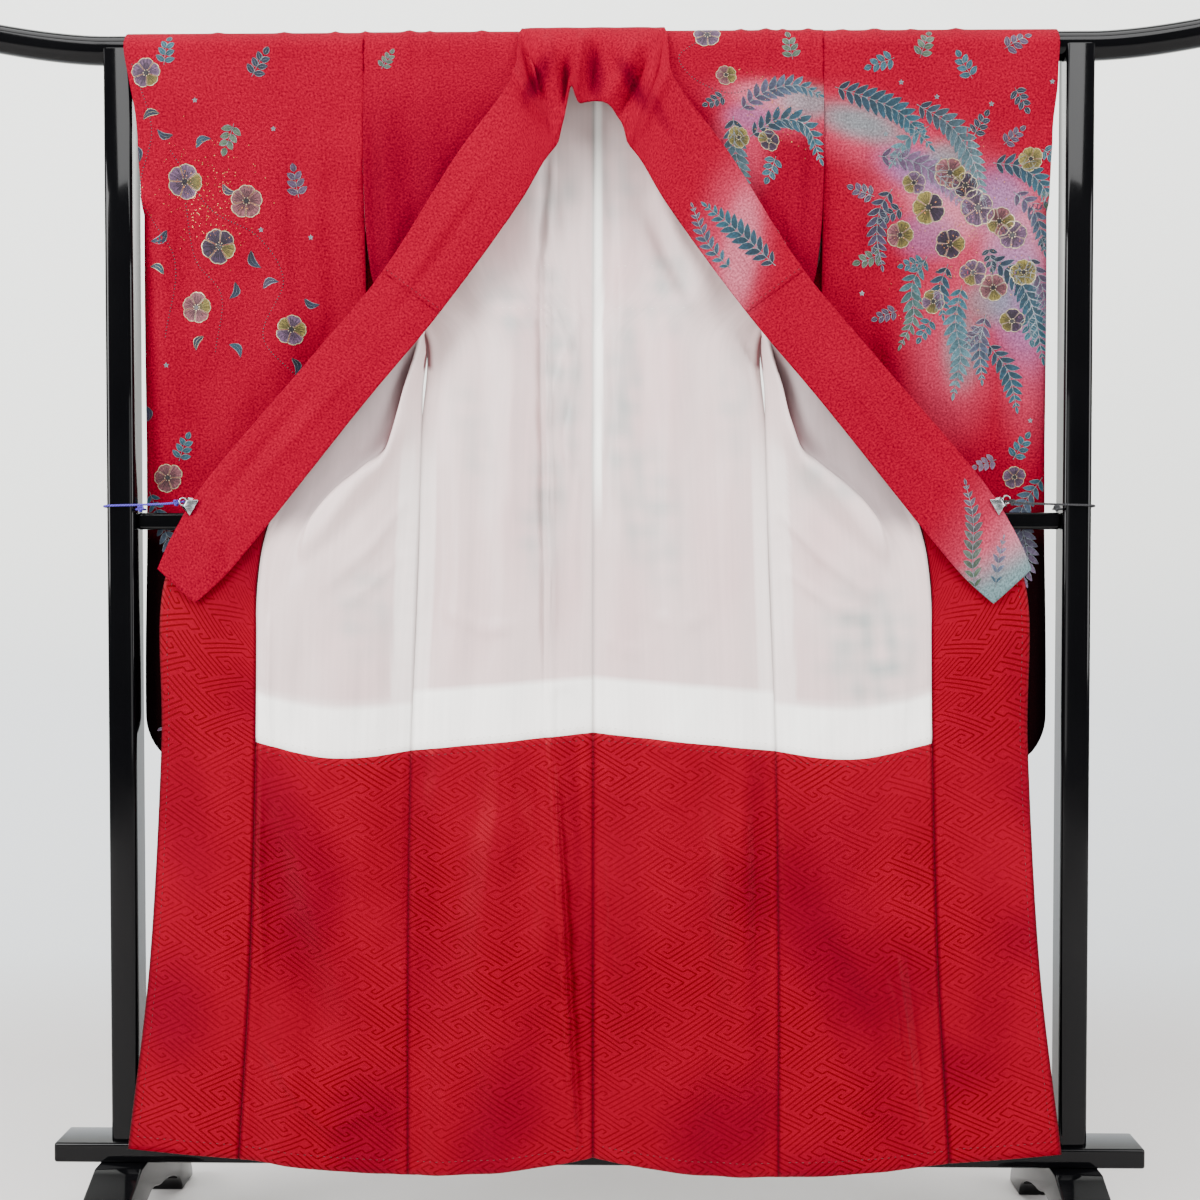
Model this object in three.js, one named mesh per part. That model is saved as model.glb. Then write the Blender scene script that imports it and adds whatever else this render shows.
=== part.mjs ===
// A long-sleeved furisode kimono hung open on a lacquered kimono stand.
//
// Millimetres, +Z up. The origin is on the floor, midway between the feet. The stand's rails run
// along X, and the kimono's front faces -Y. "Left" and "right" are as seen from the front.
//
// The sleeves and the body panels are cut in one piece from front hem to back hem and hang folded
// over the top rail. Both fronts are swung wide open, so that below the collar they show their
// lining, and two clips tied to the uprights hold the ends of the collar.

import * as THREE from 'three';

// ---------------------------------------------------------------- driving dimensions

// Stand
const RAIL_RADIUS = 20.5;
const RAIL_HEIGHT = 1695; // centre of the top rail
const RAIL_HALF_LENGTH = 862;
const RAIL_UPTURN = 20; // how far the rail's ends sweep up
const UPRIGHT_CENTRE = 676;
const UPRIGHT_WIDTH = 40;
const UPRIGHT_DEPTH = 48;
const MIDDLE_RAIL_TOP = 1039;
const MIDDLE_RAIL_HEIGHT = 24;
const MIDDLE_RAIL_DEPTH = 22;
const BAR_TOP = 140;
const BAR_HEIGHT = 28.5;
const BAR_DEPTH = 70;
const BAR_HALF_LENGTH = 775;
const FOOT_WIDTH = 68;
const FOOT_REACH = 218; // from the upright's centre plane to each toe
const JOINT_GAP = 0.3; // clearance where two pieces meet

// Kimono
const KIMONO_OFFSET = -5; // the garment hangs a little left of the stand's centre
const CLOTH = 1.2; // outer silk crepe
const LINING = 1.0; // lining silk
const PLY_GAP = 0.3; // between the outer cloth and its lining
const BODY_WRAP = 23; // radius of the body cloth's middle layer over the rail
const SLEEVE_WRAP = 22.2;
const COLLAR_WRAP = 26.6;
const COLLAR_THICKNESS = 1.6;
const SHOULDER_HALF_WIDTH = 322; // centre back to the sleeve seam
const NECK_HALF_WIDTH = 90;
const NECK_SEAM_ANGLE = 52; // degrees up the back of the rail
const SIDE_SEAM_GAP = 2;
const SLEEVE_SEAM = 323.35;
const SLEEVE_BOTTOM = 670;
const SLEEVE_CORNER_RADIUS = 80;
const CUFF_OPENING = 230; // length of the open part of the cuff, from the shoulder fold
const LEFT_CUFF_FLARE = 10; // the left cuff hangs out over the upright at its top
const CLIP_WIDTH = 25;
const CORD_RADIUS = 1.5;
const CORD_CLEAR = 1.8; // round the upright, where the cord turns its corners

// ---------------------------------------------------------------- materials

const material = (color, roughness, metalness = 0) =>
  new THREE.MeshStandardMaterial({ color, roughness, metalness, side: THREE.DoubleSide });
const lacquer = material('#0b0b0d', 0.12);
const crepe = material('#cf1830', 0.7);
const liningSilk = material('#f2f0ee', 0.5);
const damask = material('#cc1228', 0.45);
const steel = material('#c9c9cc', 0.25, 1);
const violetCord = material('#3b2a8c', 0.8);
const blackCord = material('#131316', 0.8);

// ---------------------------------------------------------------- tools for cloth

const lerp = THREE.MathUtils.lerp;
const smooth = THREE.MathUtils.smoothstep;
const radians = THREE.MathUtils.degToRad;
const vec = ([x, y, z]) => new THREE.Vector3(x, y, z);

// A smooth value from a table of { at, ...columns }, sorted by falling "at".
function lookup(table, at, column) {
  if (at >= table[0].at) return table[0][column];
  const last = table.length - 1;
  if (at <= table[last].at) return table[last][column];
  const k = table.findIndex((row) => row.at <= at) - 1;
  const t = (table[k].at - at) / (table[k].at - table[k + 1].at);
  return lerp(table[k][column], table[k + 1][column], t * t * (3 - 2 * t));
}

// A row of count + 1 points on a smooth curve through a few named ones.
function acrossRow(points, count) {
  return new THREE.CatmullRomCurve3(points.map(vec), false, 'centripetal').getPoints(count);
}

// Rows between the control rows, by a smooth curve down each column. "at" lists places along the
// control rows, where 2.5 is midway between the third and the fourth.
function rowsAt(controlRows, at) {
  const columns = controlRows[0].map((_, c) =>
    new THREE.CatmullRomCurve3(controlRows.map((row) => row[c]), false, 'centripetal'));
  const spans = controlRows.length - 1;
  return at.map((place) => columns.map((curve) => curve.getPoint(place / spans)));
}

// Every point of the rows with its normal, which is across x down.
function withNormals(rows) {
  const pick = (list, k) => list[THREE.MathUtils.clamp(k, 0, list.length - 1)];
  return rows.map((row, r) => row.map((point, c) => {
    const across = pick(row, c + 1).clone().sub(pick(row, c - 1));
    const down = pick(rows, r + 1)[c].clone().sub(pick(rows, r - 1)[c]);
    return { point, normal: across.cross(down).normalize() };
  }));
}

// A closed wall between two offsets from a grid of points with normals.
function wall(grid, inner, outer) {
  const height = grid.length;
  const width = grid[0].length;
  const positions = [];
  for (const offset of [inner, outer]) {
    for (const { point, normal } of grid.flat()) {
      positions.push(...point.clone().addScaledVector(normal, offset).toArray());
    }
  }
  const near = (r, c) => r * width + c;
  const far = (r, c) => height * width + near(r, c);
  const faces = [];
  const quad = (a, b, c, d) => faces.push(a, b, c, a, c, d);
  for (let r = 0; r < height - 1; r += 1) {
    for (let c = 0; c < width - 1; c += 1) {
      quad(far(r, c), far(r, c + 1), far(r + 1, c + 1), far(r + 1, c));
      quad(near(r, c), near(r + 1, c), near(r + 1, c + 1), near(r, c + 1));
    }
    quad(far(r, 0), far(r + 1, 0), near(r + 1, 0), near(r, 0));
    quad(far(r + 1, width - 1), far(r, width - 1), near(r, width - 1), near(r + 1, width - 1));
  }
  for (let c = 0; c < width - 1; c += 1) {
    quad(far(0, c + 1), far(0, c), near(0, c), near(0, c + 1));
    quad(far(height - 1, c), far(height - 1, c + 1), near(height - 1, c + 1), near(height - 1, c));
  }
  const geometry = new THREE.BufferGeometry();
  geometry.setAttribute('position', new THREE.Float32BufferAttribute(positions, 3));
  geometry.setIndex(faces);
  return geometry;
}

// The same solid on the other side of the plane x = 0, with its faces still pointing out.
function mirrored(geometry) {
  const copy = geometry.clone().scale(-1, 1, 1);
  const faces = Array.from(copy.index.array);
  for (let f = 0; f < faces.length; f += 3) {
    [faces[f + 1], faces[f + 2]] = [faces[f + 2], faces[f + 1]];
  }
  copy.setIndex(faces);
  return copy;
}

// A closed tube of round section through points, with flat ends.
function roundTube(points, radius, sides, steps) {
  const ring = new THREE.Shape();
  ring.absarc(0, 0, radius, 0, 2 * Math.PI, false);
  return new THREE.ExtrudeGeometry(ring, {
    steps,
    curveSegments: sides / 2,
    extrudePath: new THREE.CatmullRomCurve3(points.map(vec), false, 'centripetal'),
  });
}

// A point on a circle round the rail: 0 degrees is straight behind it, 90 on top, 180 in front.
function roundRail(radius, degrees) {
  const angle = radians(degrees);
  return { y: radius * Math.cos(angle), z: RAIL_HEIGHT + radius * Math.sin(angle) };
}

// ---------------------------------------------------------------- the body panels

const BODY_COLUMNS = 10;

// Each body panel is one cloth: up the back, over the rail and down the front. Its back, a row for
// each height: where the cloth hangs, where its side edge is, and how deep its soft folds are.
const BACK_ROWS = [
  { at: 1695, depth: 23, side: 322, fold: 0 },
  { at: 1600, depth: 22, side: 322, fold: 0 },
  { at: 1500, depth: 19, side: 322, fold: 4 },
  { at: 1400, depth: 10, side: 321, fold: 9 },
  { at: 1345, depth: 4, side: 296, fold: 12 },
  { at: 1290, depth: -2, side: 241, fold: 14 },
  { at: 1150, depth: -9, side: 244, fold: 13 },
  { at: 1027, depth: -14.5, side: 247, fold: 11 },
  { at: 702, depth: -26, side: 258, fold: 10 },
  { at: 400, depth: -36, side: 262, fold: 9 },
  { at: 101, depth: -43, side: 262, fold: 7 },
];
const BACK_HEM_RISE = 26; // the hem is this much higher at the centre back than at the side
const BROAD_FOLD = 0.36; // share of "fold" in one broad fold across the panel
const NARROW_FOLD = 0.15; // and in three narrow ones

// The front of the panel, a row for each level of the cloth, from the shoulder down. "side" is the
// side edge and "seam" the edge sewn to the collar and then to the overlap. Down to the side seam
// the cloth runs towards the middle and turns back at "fold"; below it, it swings open like a door,
// and "lip" and "fold" are the rim and the bottom of the pocket where it sags.
const FRONT_ROWS = [
  {
    side: [322, -25, 1650], crest: [266, -25, 1652], lip: [210, -25, 1654],
    fold: [156, -26, 1656], strip: [122, -28, 1657], seam: [101, -30, 1658],
  },
  {
    side: [323, -25, 1566], crest: [250, -25, 1570], lip: [170, -25, 1576],
    fold: [126, -31, 1582], strip: [138, -36, 1584], seam: [152, -37, 1586],
  },
  {
    side: [323, -25, 1506], crest: [250, -26, 1510], lip: [172, -26, 1518],
    fold: [140, -32, 1525], strip: [165, -38, 1530], seam: [190, -39, 1535],
  },
  {
    side: [317, -25, 1410], crest: [258, -27, 1415], lip: [192, -27, 1424],
    fold: [164, -33, 1432], strip: [198, -39, 1446], seam: [238, -40, 1460],
  },
  {
    side: [304, -18, 1350], crest: [258, -24, 1351], lip: [218, -27, 1354],
    fold: [200, -33, 1360], strip: [236, -40, 1378], seam: [278, -41, 1396],
  },
  {
    side: [241, -2, 1290], crest: [240, -12, 1293], lip: [237, -22, 1297],
    fold: [242, -31, 1304], strip: [268, -40, 1330], seam: [301, -42, 1352],
  },
  {
    side: [243, -6, 1210], crest: [250, -16, 1213], lip: [260, -27, 1220],
    fold: [274, -17, 1232], strip: [304, -37, 1246], seam: [344, -43, 1258],
  },
  {
    side: [245, -11, 1110], crest: [264, -24, 1111], lip: [291, -37, 1121],
    fold: [310, -18, 1142], strip: [345, -38, 1152], seam: [393, -44, 1153],
  },
  {
    side: [247, -15, 1030], crest: [300, -37, 1040], lip: [354, -48, 1078],
    fold: [368, -26, 1104], strip: [394, -39, 1108], seam: [424, -45, 1088],
  },
  {
    side: [249, -18, 970], crest: [325, -42, 975], lip: [402, -53, 1012],
    fold: [420, -38, 1036], strip: [440, -42, 1034], seam: [456, -46, 1018],
  },
  {
    side: [251, -20, 915], crest: [330, -43, 918], lip: [395, -52, 924],
    fold: [430, -50, 930], strip: [452, -48, 934], seam: [470, -47, 938],
  },
  {
    side: [258, -26, 702], crest: [318, -42, 704], lip: [375, -50, 707],
    fold: [415, -51, 710], strip: [446, -50, 713], seam: [473, -49, 716],
  },
  {
    side: [262, -36, 400], crest: [320, -46, 400], lip: [375, -53, 400],
    fold: [415, -55, 401], strip: [450, -55, 401], seam: [482, -55, 400],
  },
  {
    side: [262, -43, 101], crest: [320, -52, 106], lip: [380, -58, 112],
    fold: [425, -61, 118], strip: [462, -61, 124], seam: [498, -60, 128],
  },
];
const BACK_LINING_SEAM = 702; // height where the white lining meets the red hem lining
const FRONT_LINING_SEAM_ROW = 11; // the row of FRONT_ROWS where it does so in front

// The back panel's depth at a place across it, 0 at the side and 1 at the centre seam.
function backPoint(height, across) {
  const side = lookup(BACK_ROWS, height, 'side') - (height < 1400 ? SIDE_SEAM_GAP : 0);
  const fold = lookup(BACK_ROWS, height, 'fold');
  const broad = BROAD_FOLD * (1 - Math.cos(2 * Math.PI * across));
  const narrow = NARROW_FOLD * (1 - Math.cos(6 * Math.PI * across));
  const rise = BACK_HEM_RISE * across * across * smooth(-height, -700, -101);
  return new THREE.Vector3(
    lerp(side, 0.5, across),
    lookup(BACK_ROWS, height, 'depth') - fold * (broad + narrow),
    height + rise,
  );
}

function bodyRows() {
  const columns = [...Array(BODY_COLUMNS + 1).keys()].map((c) => c / BODY_COLUMNS);
  const back = BACK_ROWS.slice(1).reverse().map(({ at }) => columns.map((a) => backPoint(at, a)));
  const over = [0, 24, NECK_SEAM_ANGLE, NECK_SEAM_ANGLE + 4, 84, 112, 140, 170].map((angle) => {
    const { y, z } = roundRail(BODY_WRAP, angle);
    const end = angle > NECK_SEAM_ANGLE ? NECK_HALF_WIDTH + angle / 30 : 0.5;
    return columns.map((a) => new THREE.Vector3(lerp(SHOULDER_HALF_WIDTH, end, a), y, z));
  });
  const front = FRONT_ROWS.map(({ side, crest, lip, fold, strip, seam }) =>
    acrossRow([side, crest, lip, fold, strip, seam], BODY_COLUMNS));
  return { rows: [...back, ...over, ...front], frontStart: back.length + over.length };
}

// The outer cloth and the linings of one body panel share these rows. Each lining seam has two
// rows, a hair apart, so that the two linings stay clear of each other.
function bodyGrid() {
  const { rows, frontStart } = bodyRows();
  const backSeam = BACK_ROWS.slice(1).reverse().findIndex((row) => row.at === BACK_LINING_SEAM);
  const frontSeam = frontStart + FRONT_LINING_SEAM_ROW;
  const at = [];
  rows.forEach((_, k) => {
    const isSeam = k === backSeam || k === frontSeam;
    at.push(...(isSeam ? [k - 0.001, k + 0.001] : [k]));
    const sideOpens = k === frontStart + 4 || k === frontStart + 5;
    const longSpan = k < 2 || sideOpens || k === rows.length - 2;
    if (longSpan) at.push(k + 0.5);
  });
  const grid = withNormals(rowsAt(rows, at));
  const find = (value) => at.findIndex((place) => Math.abs(place - value) < 1e-6);
  return {
    whole: grid.filter((_, k) => k !== find(backSeam + 0.001) && k !== find(frontSeam + 0.001)),
    backHem: grid.slice(0, find(backSeam - 0.001) + 1),
    white: grid.slice(find(backSeam + 0.001), find(frontSeam - 0.001) + 1),
    frontHem: grid.slice(find(frontSeam + 0.001)),
  };
}

const outerPly = (grid) => wall(grid, PLY_GAP / 2, PLY_GAP / 2 + CLOTH);
const liningPly = (grid) => wall(grid, -PLY_GAP / 2 - LINING, -PLY_GAP / 2);

// ---------------------------------------------------------------- the overlaps

const OVERLAP_COLUMNS = 4;

// The overlap is the narrow panel between the front and the open edge. "inner" is sewn to the
// front, and "outer" runs behind the collar to its end and then down the open front edge.
const OVERLAP_ROWS = [
  { inner: [303, -42.6, 1351], outer: [310, -43, 1354] },
  { inner: [346, -43.6, 1258], outer: [350, -44, 1294] },
  { inner: [395, -44.6, 1153], outer: [413, -46, 1216] },
  { inner: [426, -45.6, 1088], outer: [463, -48, 1154] },
  { inner: [458, -46.6, 1018], outer: [498, -49, 1102] },
  { inner: [472, -47.6, 938], outer: [544, -49.5, 1046] },
  { inner: [473.5, -48, 860], outer: [600, -49.5, 946] },
  { inner: [475, -49.5, 716], outer: [606, -52, 715] },
  { inner: [484, -55, 400], outer: [624, -57, 400] },
  { inner: [500, -60, 128], outer: [655, -61, 142] },
];

function overlapGrid() {
  const rows = OVERLAP_ROWS.map(({ inner, outer }) => {
    const middle = inner.map((value, k) => (value + outer[k]) / 2 + (k === 1 ? -2 : 0));
    return acrossRow([inner, middle, outer], OVERLAP_COLUMNS);
  });
  const at = [0, 1, 2, 3, 4, 5, 6, 6.5, 7, 7.5, 8, 8.5, 9];
  return withNormals(rowsAt(rows, at));
}

// ---------------------------------------------------------------- the sleeves

const SLEEVE_COLUMNS = 8;

// Where the sleeve's cloth hangs at each height: the middle between its front and its back, half
// the distance between them, and its outer edge.
const SLEEVE_ROWS = [
  { at: 1697, middle: 0, half: 26.4, edge: 650 },
  { at: 1650, middle: 0, half: 26.4, edge: 648 },
  { at: 1562, middle: 1, half: 22, edge: 642 },
  { at: 1480, middle: 3, half: 18, edge: 639 },
  { at: 1341, middle: 9, half: 11, edge: 641 },
  { at: 1152, middle: 15, half: 5, edge: 642 },
  { at: 1039, middle: 18, half: 3.5, edge: 644 },
  { at: 785, middle: 19, half: 4, edge: 647 },
  { at: 670, middle: 19, half: 4, edge: 647 },
];
const SLEEVE_HEIGHTS = [670.8, 680, 700, 728, 790, 900, 1039, 1152, 1290, 1400, 1486, 1562, 1650, 1697];
const SEAM_HALF_GAP = 0.9; // between front and back where the sleeve is sewn shut
const SEAM_ROUND = 32; // how far from a closed edge the two sides come together
const FOLD_DEPTH = 4; // of the sleeves' soft folds
const RAIL_REACH = 110; // the folds fade out this far above and below the middle rail

// How far the cloth hangs out of flat, in soft folds that fade out where the middle rail passes.
function sleeveRipple(x, height) {
  const fromRail = height - MIDDLE_RAIL_TOP + MIDDLE_RAIL_HEIGHT / 2;
  const clear = 1 - Math.exp(-((fromRail / RAIL_REACH) ** 2));
  const depth = FOLD_DEPTH * clear * smooth(-height, -1640, -1400);
  return depth * (Math.sin(x / 27) + 0.6 * Math.sin(x / 15 + 1));
}

function sleeveEdge(height, flare) {
  const straight = lookup(SLEEVE_ROWS, height, 'edge') + flare * smooth(height, 1600, 1700);
  const intoCorner = SLEEVE_BOTTOM + SLEEVE_CORNER_RADIUS - height;
  if (intoCorner <= 0) return straight;
  const drop = Math.sqrt(Math.max(SLEEVE_CORNER_RADIUS ** 2 - intoCorner ** 2, 0));
  return straight - SLEEVE_CORNER_RADIUS + drop;
}

// A point on the sleeve's front (side -1) or back (side 1).
function sleevePoint(height, across, side, flare) {
  const edge = sleeveEdge(height, flare);
  const x = lerp(SLEEVE_SEAM, edge, across);
  const cuffEnd = RAIL_HEIGHT + SLEEVE_WRAP - CUFF_OPENING;
  const closedSide = (edge - x) + 200 * smooth(height, cuffEnd - 30, cuffEnd + 60);
  const fromClosed = Math.min(closedSide, height - SLEEVE_BOTTOM);
  const open = lookup(SLEEVE_ROWS, height, 'half');
  const half = lerp(SEAM_HALF_GAP, open, smooth(fromClosed, 0, SEAM_ROUND));
  const y = lookup(SLEEVE_ROWS, height, 'middle') + side * half + sleeveRipple(x, height);
  return new THREE.Vector3(x, y, height);
}

// The top of the cuff reaches "flare" further out, in front of the upright and behind it.
function sleeveGrid(flare) {
  const columns = [...Array(SLEEVE_COLUMNS + 1).keys()].map((c) => c / SLEEVE_COLUMNS);
  const back = SLEEVE_HEIGHTS.map((z) => columns.map((a) => sleevePoint(z, a, 1, flare)));
  const over = [32, 61, 90, 119, 148].map((angle) => {
    const { y, z } = roundRail(SLEEVE_WRAP, angle);
    return columns.map((a) => new THREE.Vector3(lerp(SLEEVE_SEAM, sleeveEdge(z, flare), a), y, z));
  });
  const front = [...SLEEVE_HEIGHTS].reverse().map((z) =>
    columns.map((a) => sleevePoint(z, a, -1, flare)));
  // Columns run from the cuff to the body, so that the normals point outwards.
  return withNormals([...back, ...over, ...front].map((row) => row.reverse()));
}

// ---------------------------------------------------------------- the collar

const COLLAR_COLUMNS = 6;

// Half of the collar, a row for each place along it from the centre back to its end. At the neck
// the band lies over the rail: "start" and "end" are the angles round the rail between which it
// does so, over the widths in "x". Elsewhere "seam" is the edge sewn to the body, and "free" is
// everywhere the edge that lies over the lining.
const NECK_ROWS = [
  {
    start: 54, end: 150, x: [0, 0],
    front: [0, -30, 1690], low: [0, -32, 1652], free: [0, -33, 1613],
  },
  {
    start: 54, end: 150, x: [50, 45],
    front: [42, -31, 1688], low: [34, -30, 1650], free: [22, -36, 1606],
  },
  {
    start: 56, end: 152, x: [84, 78],
    front: [74, -32, 1684], low: [56, -32, 1634], free: [38, -38, 1586],
  },
  {
    start: 80, end: 155, x: [93, 86],
    front: [80, -35, 1676], low: [62, -38, 1622], free: [44, -40, 1572],
  },
  {
    start: 104, end: 160, x: [98, 91],
    front: [84, -37, 1669], low: [64, -41, 1614], free: [46, -42, 1562],
  },
  {
    start: 128, end: 166, x: [102, 95],
    front: [86, -39, 1662], low: [66, -43, 1608], free: [49, -44, 1551],
  },
  {
    start: 152, end: 174, x: [104, 98],
    front: [89, -40, 1655], low: [69, -44, 1600], free: [53, -45, 1546],
  },
];
const COLLAR_ROWS = [
  {
    seam: [106, -32, 1684], top: [99, -36, 1669], front: [90, -40, 1643],
    low: [71, -45, 1592], free: [57, -46, 1541],
  },
  {
    seam: [110, -39, 1648], top: [101, -42, 1633], front: [92, -45, 1604],
    low: [80, -47, 1566], free: [68, -48, 1526],
  },
  {
    seam: [190, -44, 1535], top: [170, -47, 1524], front: [147, -49, 1507],
    low: [123, -50, 1489], free: [100, -49, 1472],
  },
  {
    seam: [293, -47, 1374], top: [275, -50, 1361], front: [256, -52, 1346],
    low: [235, -53, 1331], free: [214, -52, 1316],
  },
  {
    seam: [400, -51, 1246], top: [381, -54, 1233], front: [361, -56, 1219],
    low: [340, -57, 1205], free: [319, -56, 1190],
  },
  {
    seam: [550, -54, 1069], top: [531, -57, 1054], front: [511, -59, 1038],
    low: [490, -60, 1021], free: [468, -59, 1004],
  },
  {
    seam: [590, -55, 1002], top: [573, -57, 988], front: [555, -59, 975],
    low: [536, -60, 961], free: [517, -59, 947],
  },
  {
    seam: [609, -55, 960], top: [596, -57, 948], front: [583, -58, 936],
    low: [570, -58, 924], free: [556, -58, 912],
  },
];
const COVER_SEAM_ROW = NECK_ROWS.length + 3; // the cover collar reaches this far down each side

function neckRow({ start, end, x, front, low, free }) {
  const wrapped = [0, 1, 2, 3].map((k) => {
    const { y, z } = roundRail(COLLAR_WRAP, lerp(start, end, k / 3));
    return [lerp(x[0], x[1], k / 3), y, z];
  });
  return [...wrapped, front, low, free].map(vec);
}

function collarGrid() {
  const side = COLLAR_ROWS.map(({ seam, top, front, low, free }) =>
    acrossRow([seam, top, front, low, free], COLLAR_COLUMNS));
  const half = [...NECK_ROWS.map(neckRow), ...side];
  const otherHalf = half.slice(1).map((row) =>
    row.map((point) => new THREE.Vector3(-point.x, point.y, point.z)));
  const rows = [...half].reverse().concat(otherHalf);
  const last = half.length - 1;
  const at = [];
  for (let k = 0; k <= 2 * last; k += 1) {
    at.push(k);
    const fromCentre = Math.abs(k + 0.5 - last);
    if (fromCentre > NECK_ROWS.length + 1 && fromCentre < last - 1) at.push(k + 0.5);
  }
  const grid = withNormals(rowsAt(rows, at));
  const first = at.indexOf(last - COVER_SEAM_ROW);
  const end = at.indexOf(last + COVER_SEAM_ROW);
  return { whole: grid, covered: grid.slice(first, end + 1) };
}

// ---------------------------------------------------------------- clips and cords

const CLIP_AT = { x: 562, y: -55.2, z: 1048 }; // on the collar's seam edge
const CLIP_TILT = 30; // degrees that the collar's edge leans from upright
const CLIP_LENGTH = 17;
const CLIP_THICKNESS = 11;
const CLIP_BITE = 7; // how far the jaws reach over the collar's edge

// A spring clip, cut as a plain U whose jaws hold the edge of the collar between them.
function clipGeometry() {
  const slot = COLLAR_THICKNESS / 2 + 1.5;
  const half = CLIP_THICKNESS / 2;
  const profile = new THREE.Shape();
  profile.moveTo(-CLIP_BITE, -half);
  profile.lineTo(CLIP_LENGTH - CLIP_BITE - 3, -half);
  profile.lineTo(CLIP_LENGTH - CLIP_BITE, -half + 3);
  profile.lineTo(CLIP_LENGTH - CLIP_BITE, half - 3);
  profile.lineTo(CLIP_LENGTH - CLIP_BITE - 3, half);
  profile.lineTo(-CLIP_BITE, half);
  profile.lineTo(-CLIP_BITE, slot);
  profile.lineTo(3, slot);
  profile.lineTo(3, -slot);
  profile.lineTo(-CLIP_BITE, -slot);
  const geometry = new THREE.ExtrudeGeometry(profile, { depth: CLIP_WIDTH, bevelEnabled: false });
  return geometry.translate(0, 0, -CLIP_WIDTH / 2);
}

// The tie: from the clip to the upright and once round it, just above the middle rail.
function cordGeometry(side) {
  const from = side * CLIP_AT.x + KIMONO_OFFSET;
  const reach = UPRIGHT_WIDTH / 2 + CORD_RADIUS + CORD_CLEAR;
  const inside = side * (UPRIGHT_CENTRE - reach);
  const outside = side * (UPRIGHT_CENTRE + reach);
  const depth = UPRIGHT_DEPTH / 2 + CORD_RADIUS + CORD_CLEAR;
  const soften = side * 5;
  const outward = CLIP_LENGTH - CLIP_BITE + 1.2;
  return roundTube([
    [from + side * outward * Math.cos(radians(CLIP_TILT)), CLIP_AT.y, CLIP_AT.z + outward / 2],
    [from + side * 34, CLIP_AT.y + 8, 1051],
    [inside - side * 14, -depth - 5, 1050],
    [inside + soften, -depth, 1049.5],
    [outside - soften, -depth, 1048.5],
    [outside, -depth + 5, 1048],
    [outside, depth - 5, 1046.5],
    [outside - soften, depth, 1046],
    [inside + soften, depth, 1045],
    [inside, depth - 5, 1044.5],
    [inside, -depth + 5, 1043.5],
    [inside - side * 2, -depth - 2, 1043.4],
    [inside - side * 9, -depth - 7, 1044.4],
  ], CORD_RADIUS, 8, 44);
}

// ---------------------------------------------------------------- the stand

// Turns a profile drawn in Y and Z, and extruded in depth, so that its depth runs along X.
const alongX = (geometry) => geometry.rotateX(Math.PI / 2).rotateZ(Math.PI / 2);

// A round rail, straight between the uprights, whose ends sweep up beyond them.
function topRailGeometry() {
  const bend = UPRIGHT_CENTRE + UPRIGHT_WIDTH / 2 + 2;
  const sweep = [0, 0.25, 0.5, 0.75, 0.97, 1].map((t) => lerp(bend, RAIL_HALF_LENGTH, t));
  const stations = [...sweep.map((x) => -x).reverse(), -220, 220, ...sweep];
  const sides = 20;
  const positions = [];
  stations.forEach((x) => {
    const out = Math.max(Math.abs(x) - bend, 0) / (RAIL_HALF_LENGTH - bend);
    const radius = RAIL_RADIUS - (out === 1 ? 3 : 0);
    for (let k = 0; k < sides; k += 1) {
      const angle = (2 * Math.PI * k) / sides;
      const z = RAIL_HEIGHT + RAIL_UPTURN * out ** 1.6 + radius * Math.sin(angle);
      positions.push(x, radius * Math.cos(angle), z);
    }
  });
  const faces = [];
  const last = (stations.length - 1) * sides;
  for (let k = 0; k < sides; k += 1) {
    const next = (k + 1) % sides;
    for (let ring = 0; ring < last; ring += sides) {
      const beyond = ring + sides;
      faces.push(ring + k, ring + next, beyond + next, ring + k, beyond + next, beyond + k);
    }
    if (k > 0 && k < sides - 1) faces.push(0, next, k, last, last + k, last + next);
  }
  const geometry = new THREE.BufferGeometry();
  geometry.setAttribute('position', new THREE.Float32BufferAttribute(positions, 3));
  geometry.setIndex(faces);
  return geometry;
}

// An upright with a round saddle in its top, which takes the lower half of the rail.
function uprightGeometry() {
  const chamfer = 4;
  const half = UPRIGHT_DEPTH / 2;
  const saddle = RAIL_RADIUS + JOINT_GAP + 0.3;
  const profile = new THREE.Shape();
  profile.moveTo(-half, BAR_TOP + JOINT_GAP);
  profile.lineTo(half, BAR_TOP + JOINT_GAP);
  profile.lineTo(half, RAIL_HEIGHT - 2);
  profile.lineTo(saddle, RAIL_HEIGHT);
  profile.absarc(0, RAIL_HEIGHT, saddle, 0, Math.PI, true);
  profile.lineTo(-half, RAIL_HEIGHT - 2);
  const geometry = new THREE.ExtrudeGeometry(profile, {
    depth: UPRIGHT_WIDTH - 2 * chamfer,
    curveSegments: 10,
    bevelEnabled: true,
    bevelThickness: chamfer,
    bevelSize: 1.2,
    bevelOffset: -1.2,
    bevelSegments: 1,
  });
  return alongX(geometry.translate(0, 0, chamfer - UPRIGHT_WIDTH / 2));
}

// A straight bar along X with softened long edges.
function barGeometry(halfLength, depth, height, soften) {
  const y = depth / 2;
  const z = height / 2;
  const profile = new THREE.Shape([
    [-y + soften, -z], [y - soften, -z], [y, -z + soften], [y, z - soften],
    [y - soften, z], [-y + soften, z], [-y, z - soften], [-y, -z + soften],
  ].map(([a, b]) => new THREE.Vector2(a, b)));
  const geometry = new THREE.ExtrudeGeometry(profile, { depth: 2 * halfLength, bevelEnabled: false });
  return alongX(geometry.translate(0, 0, -halfLength));
}

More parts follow.
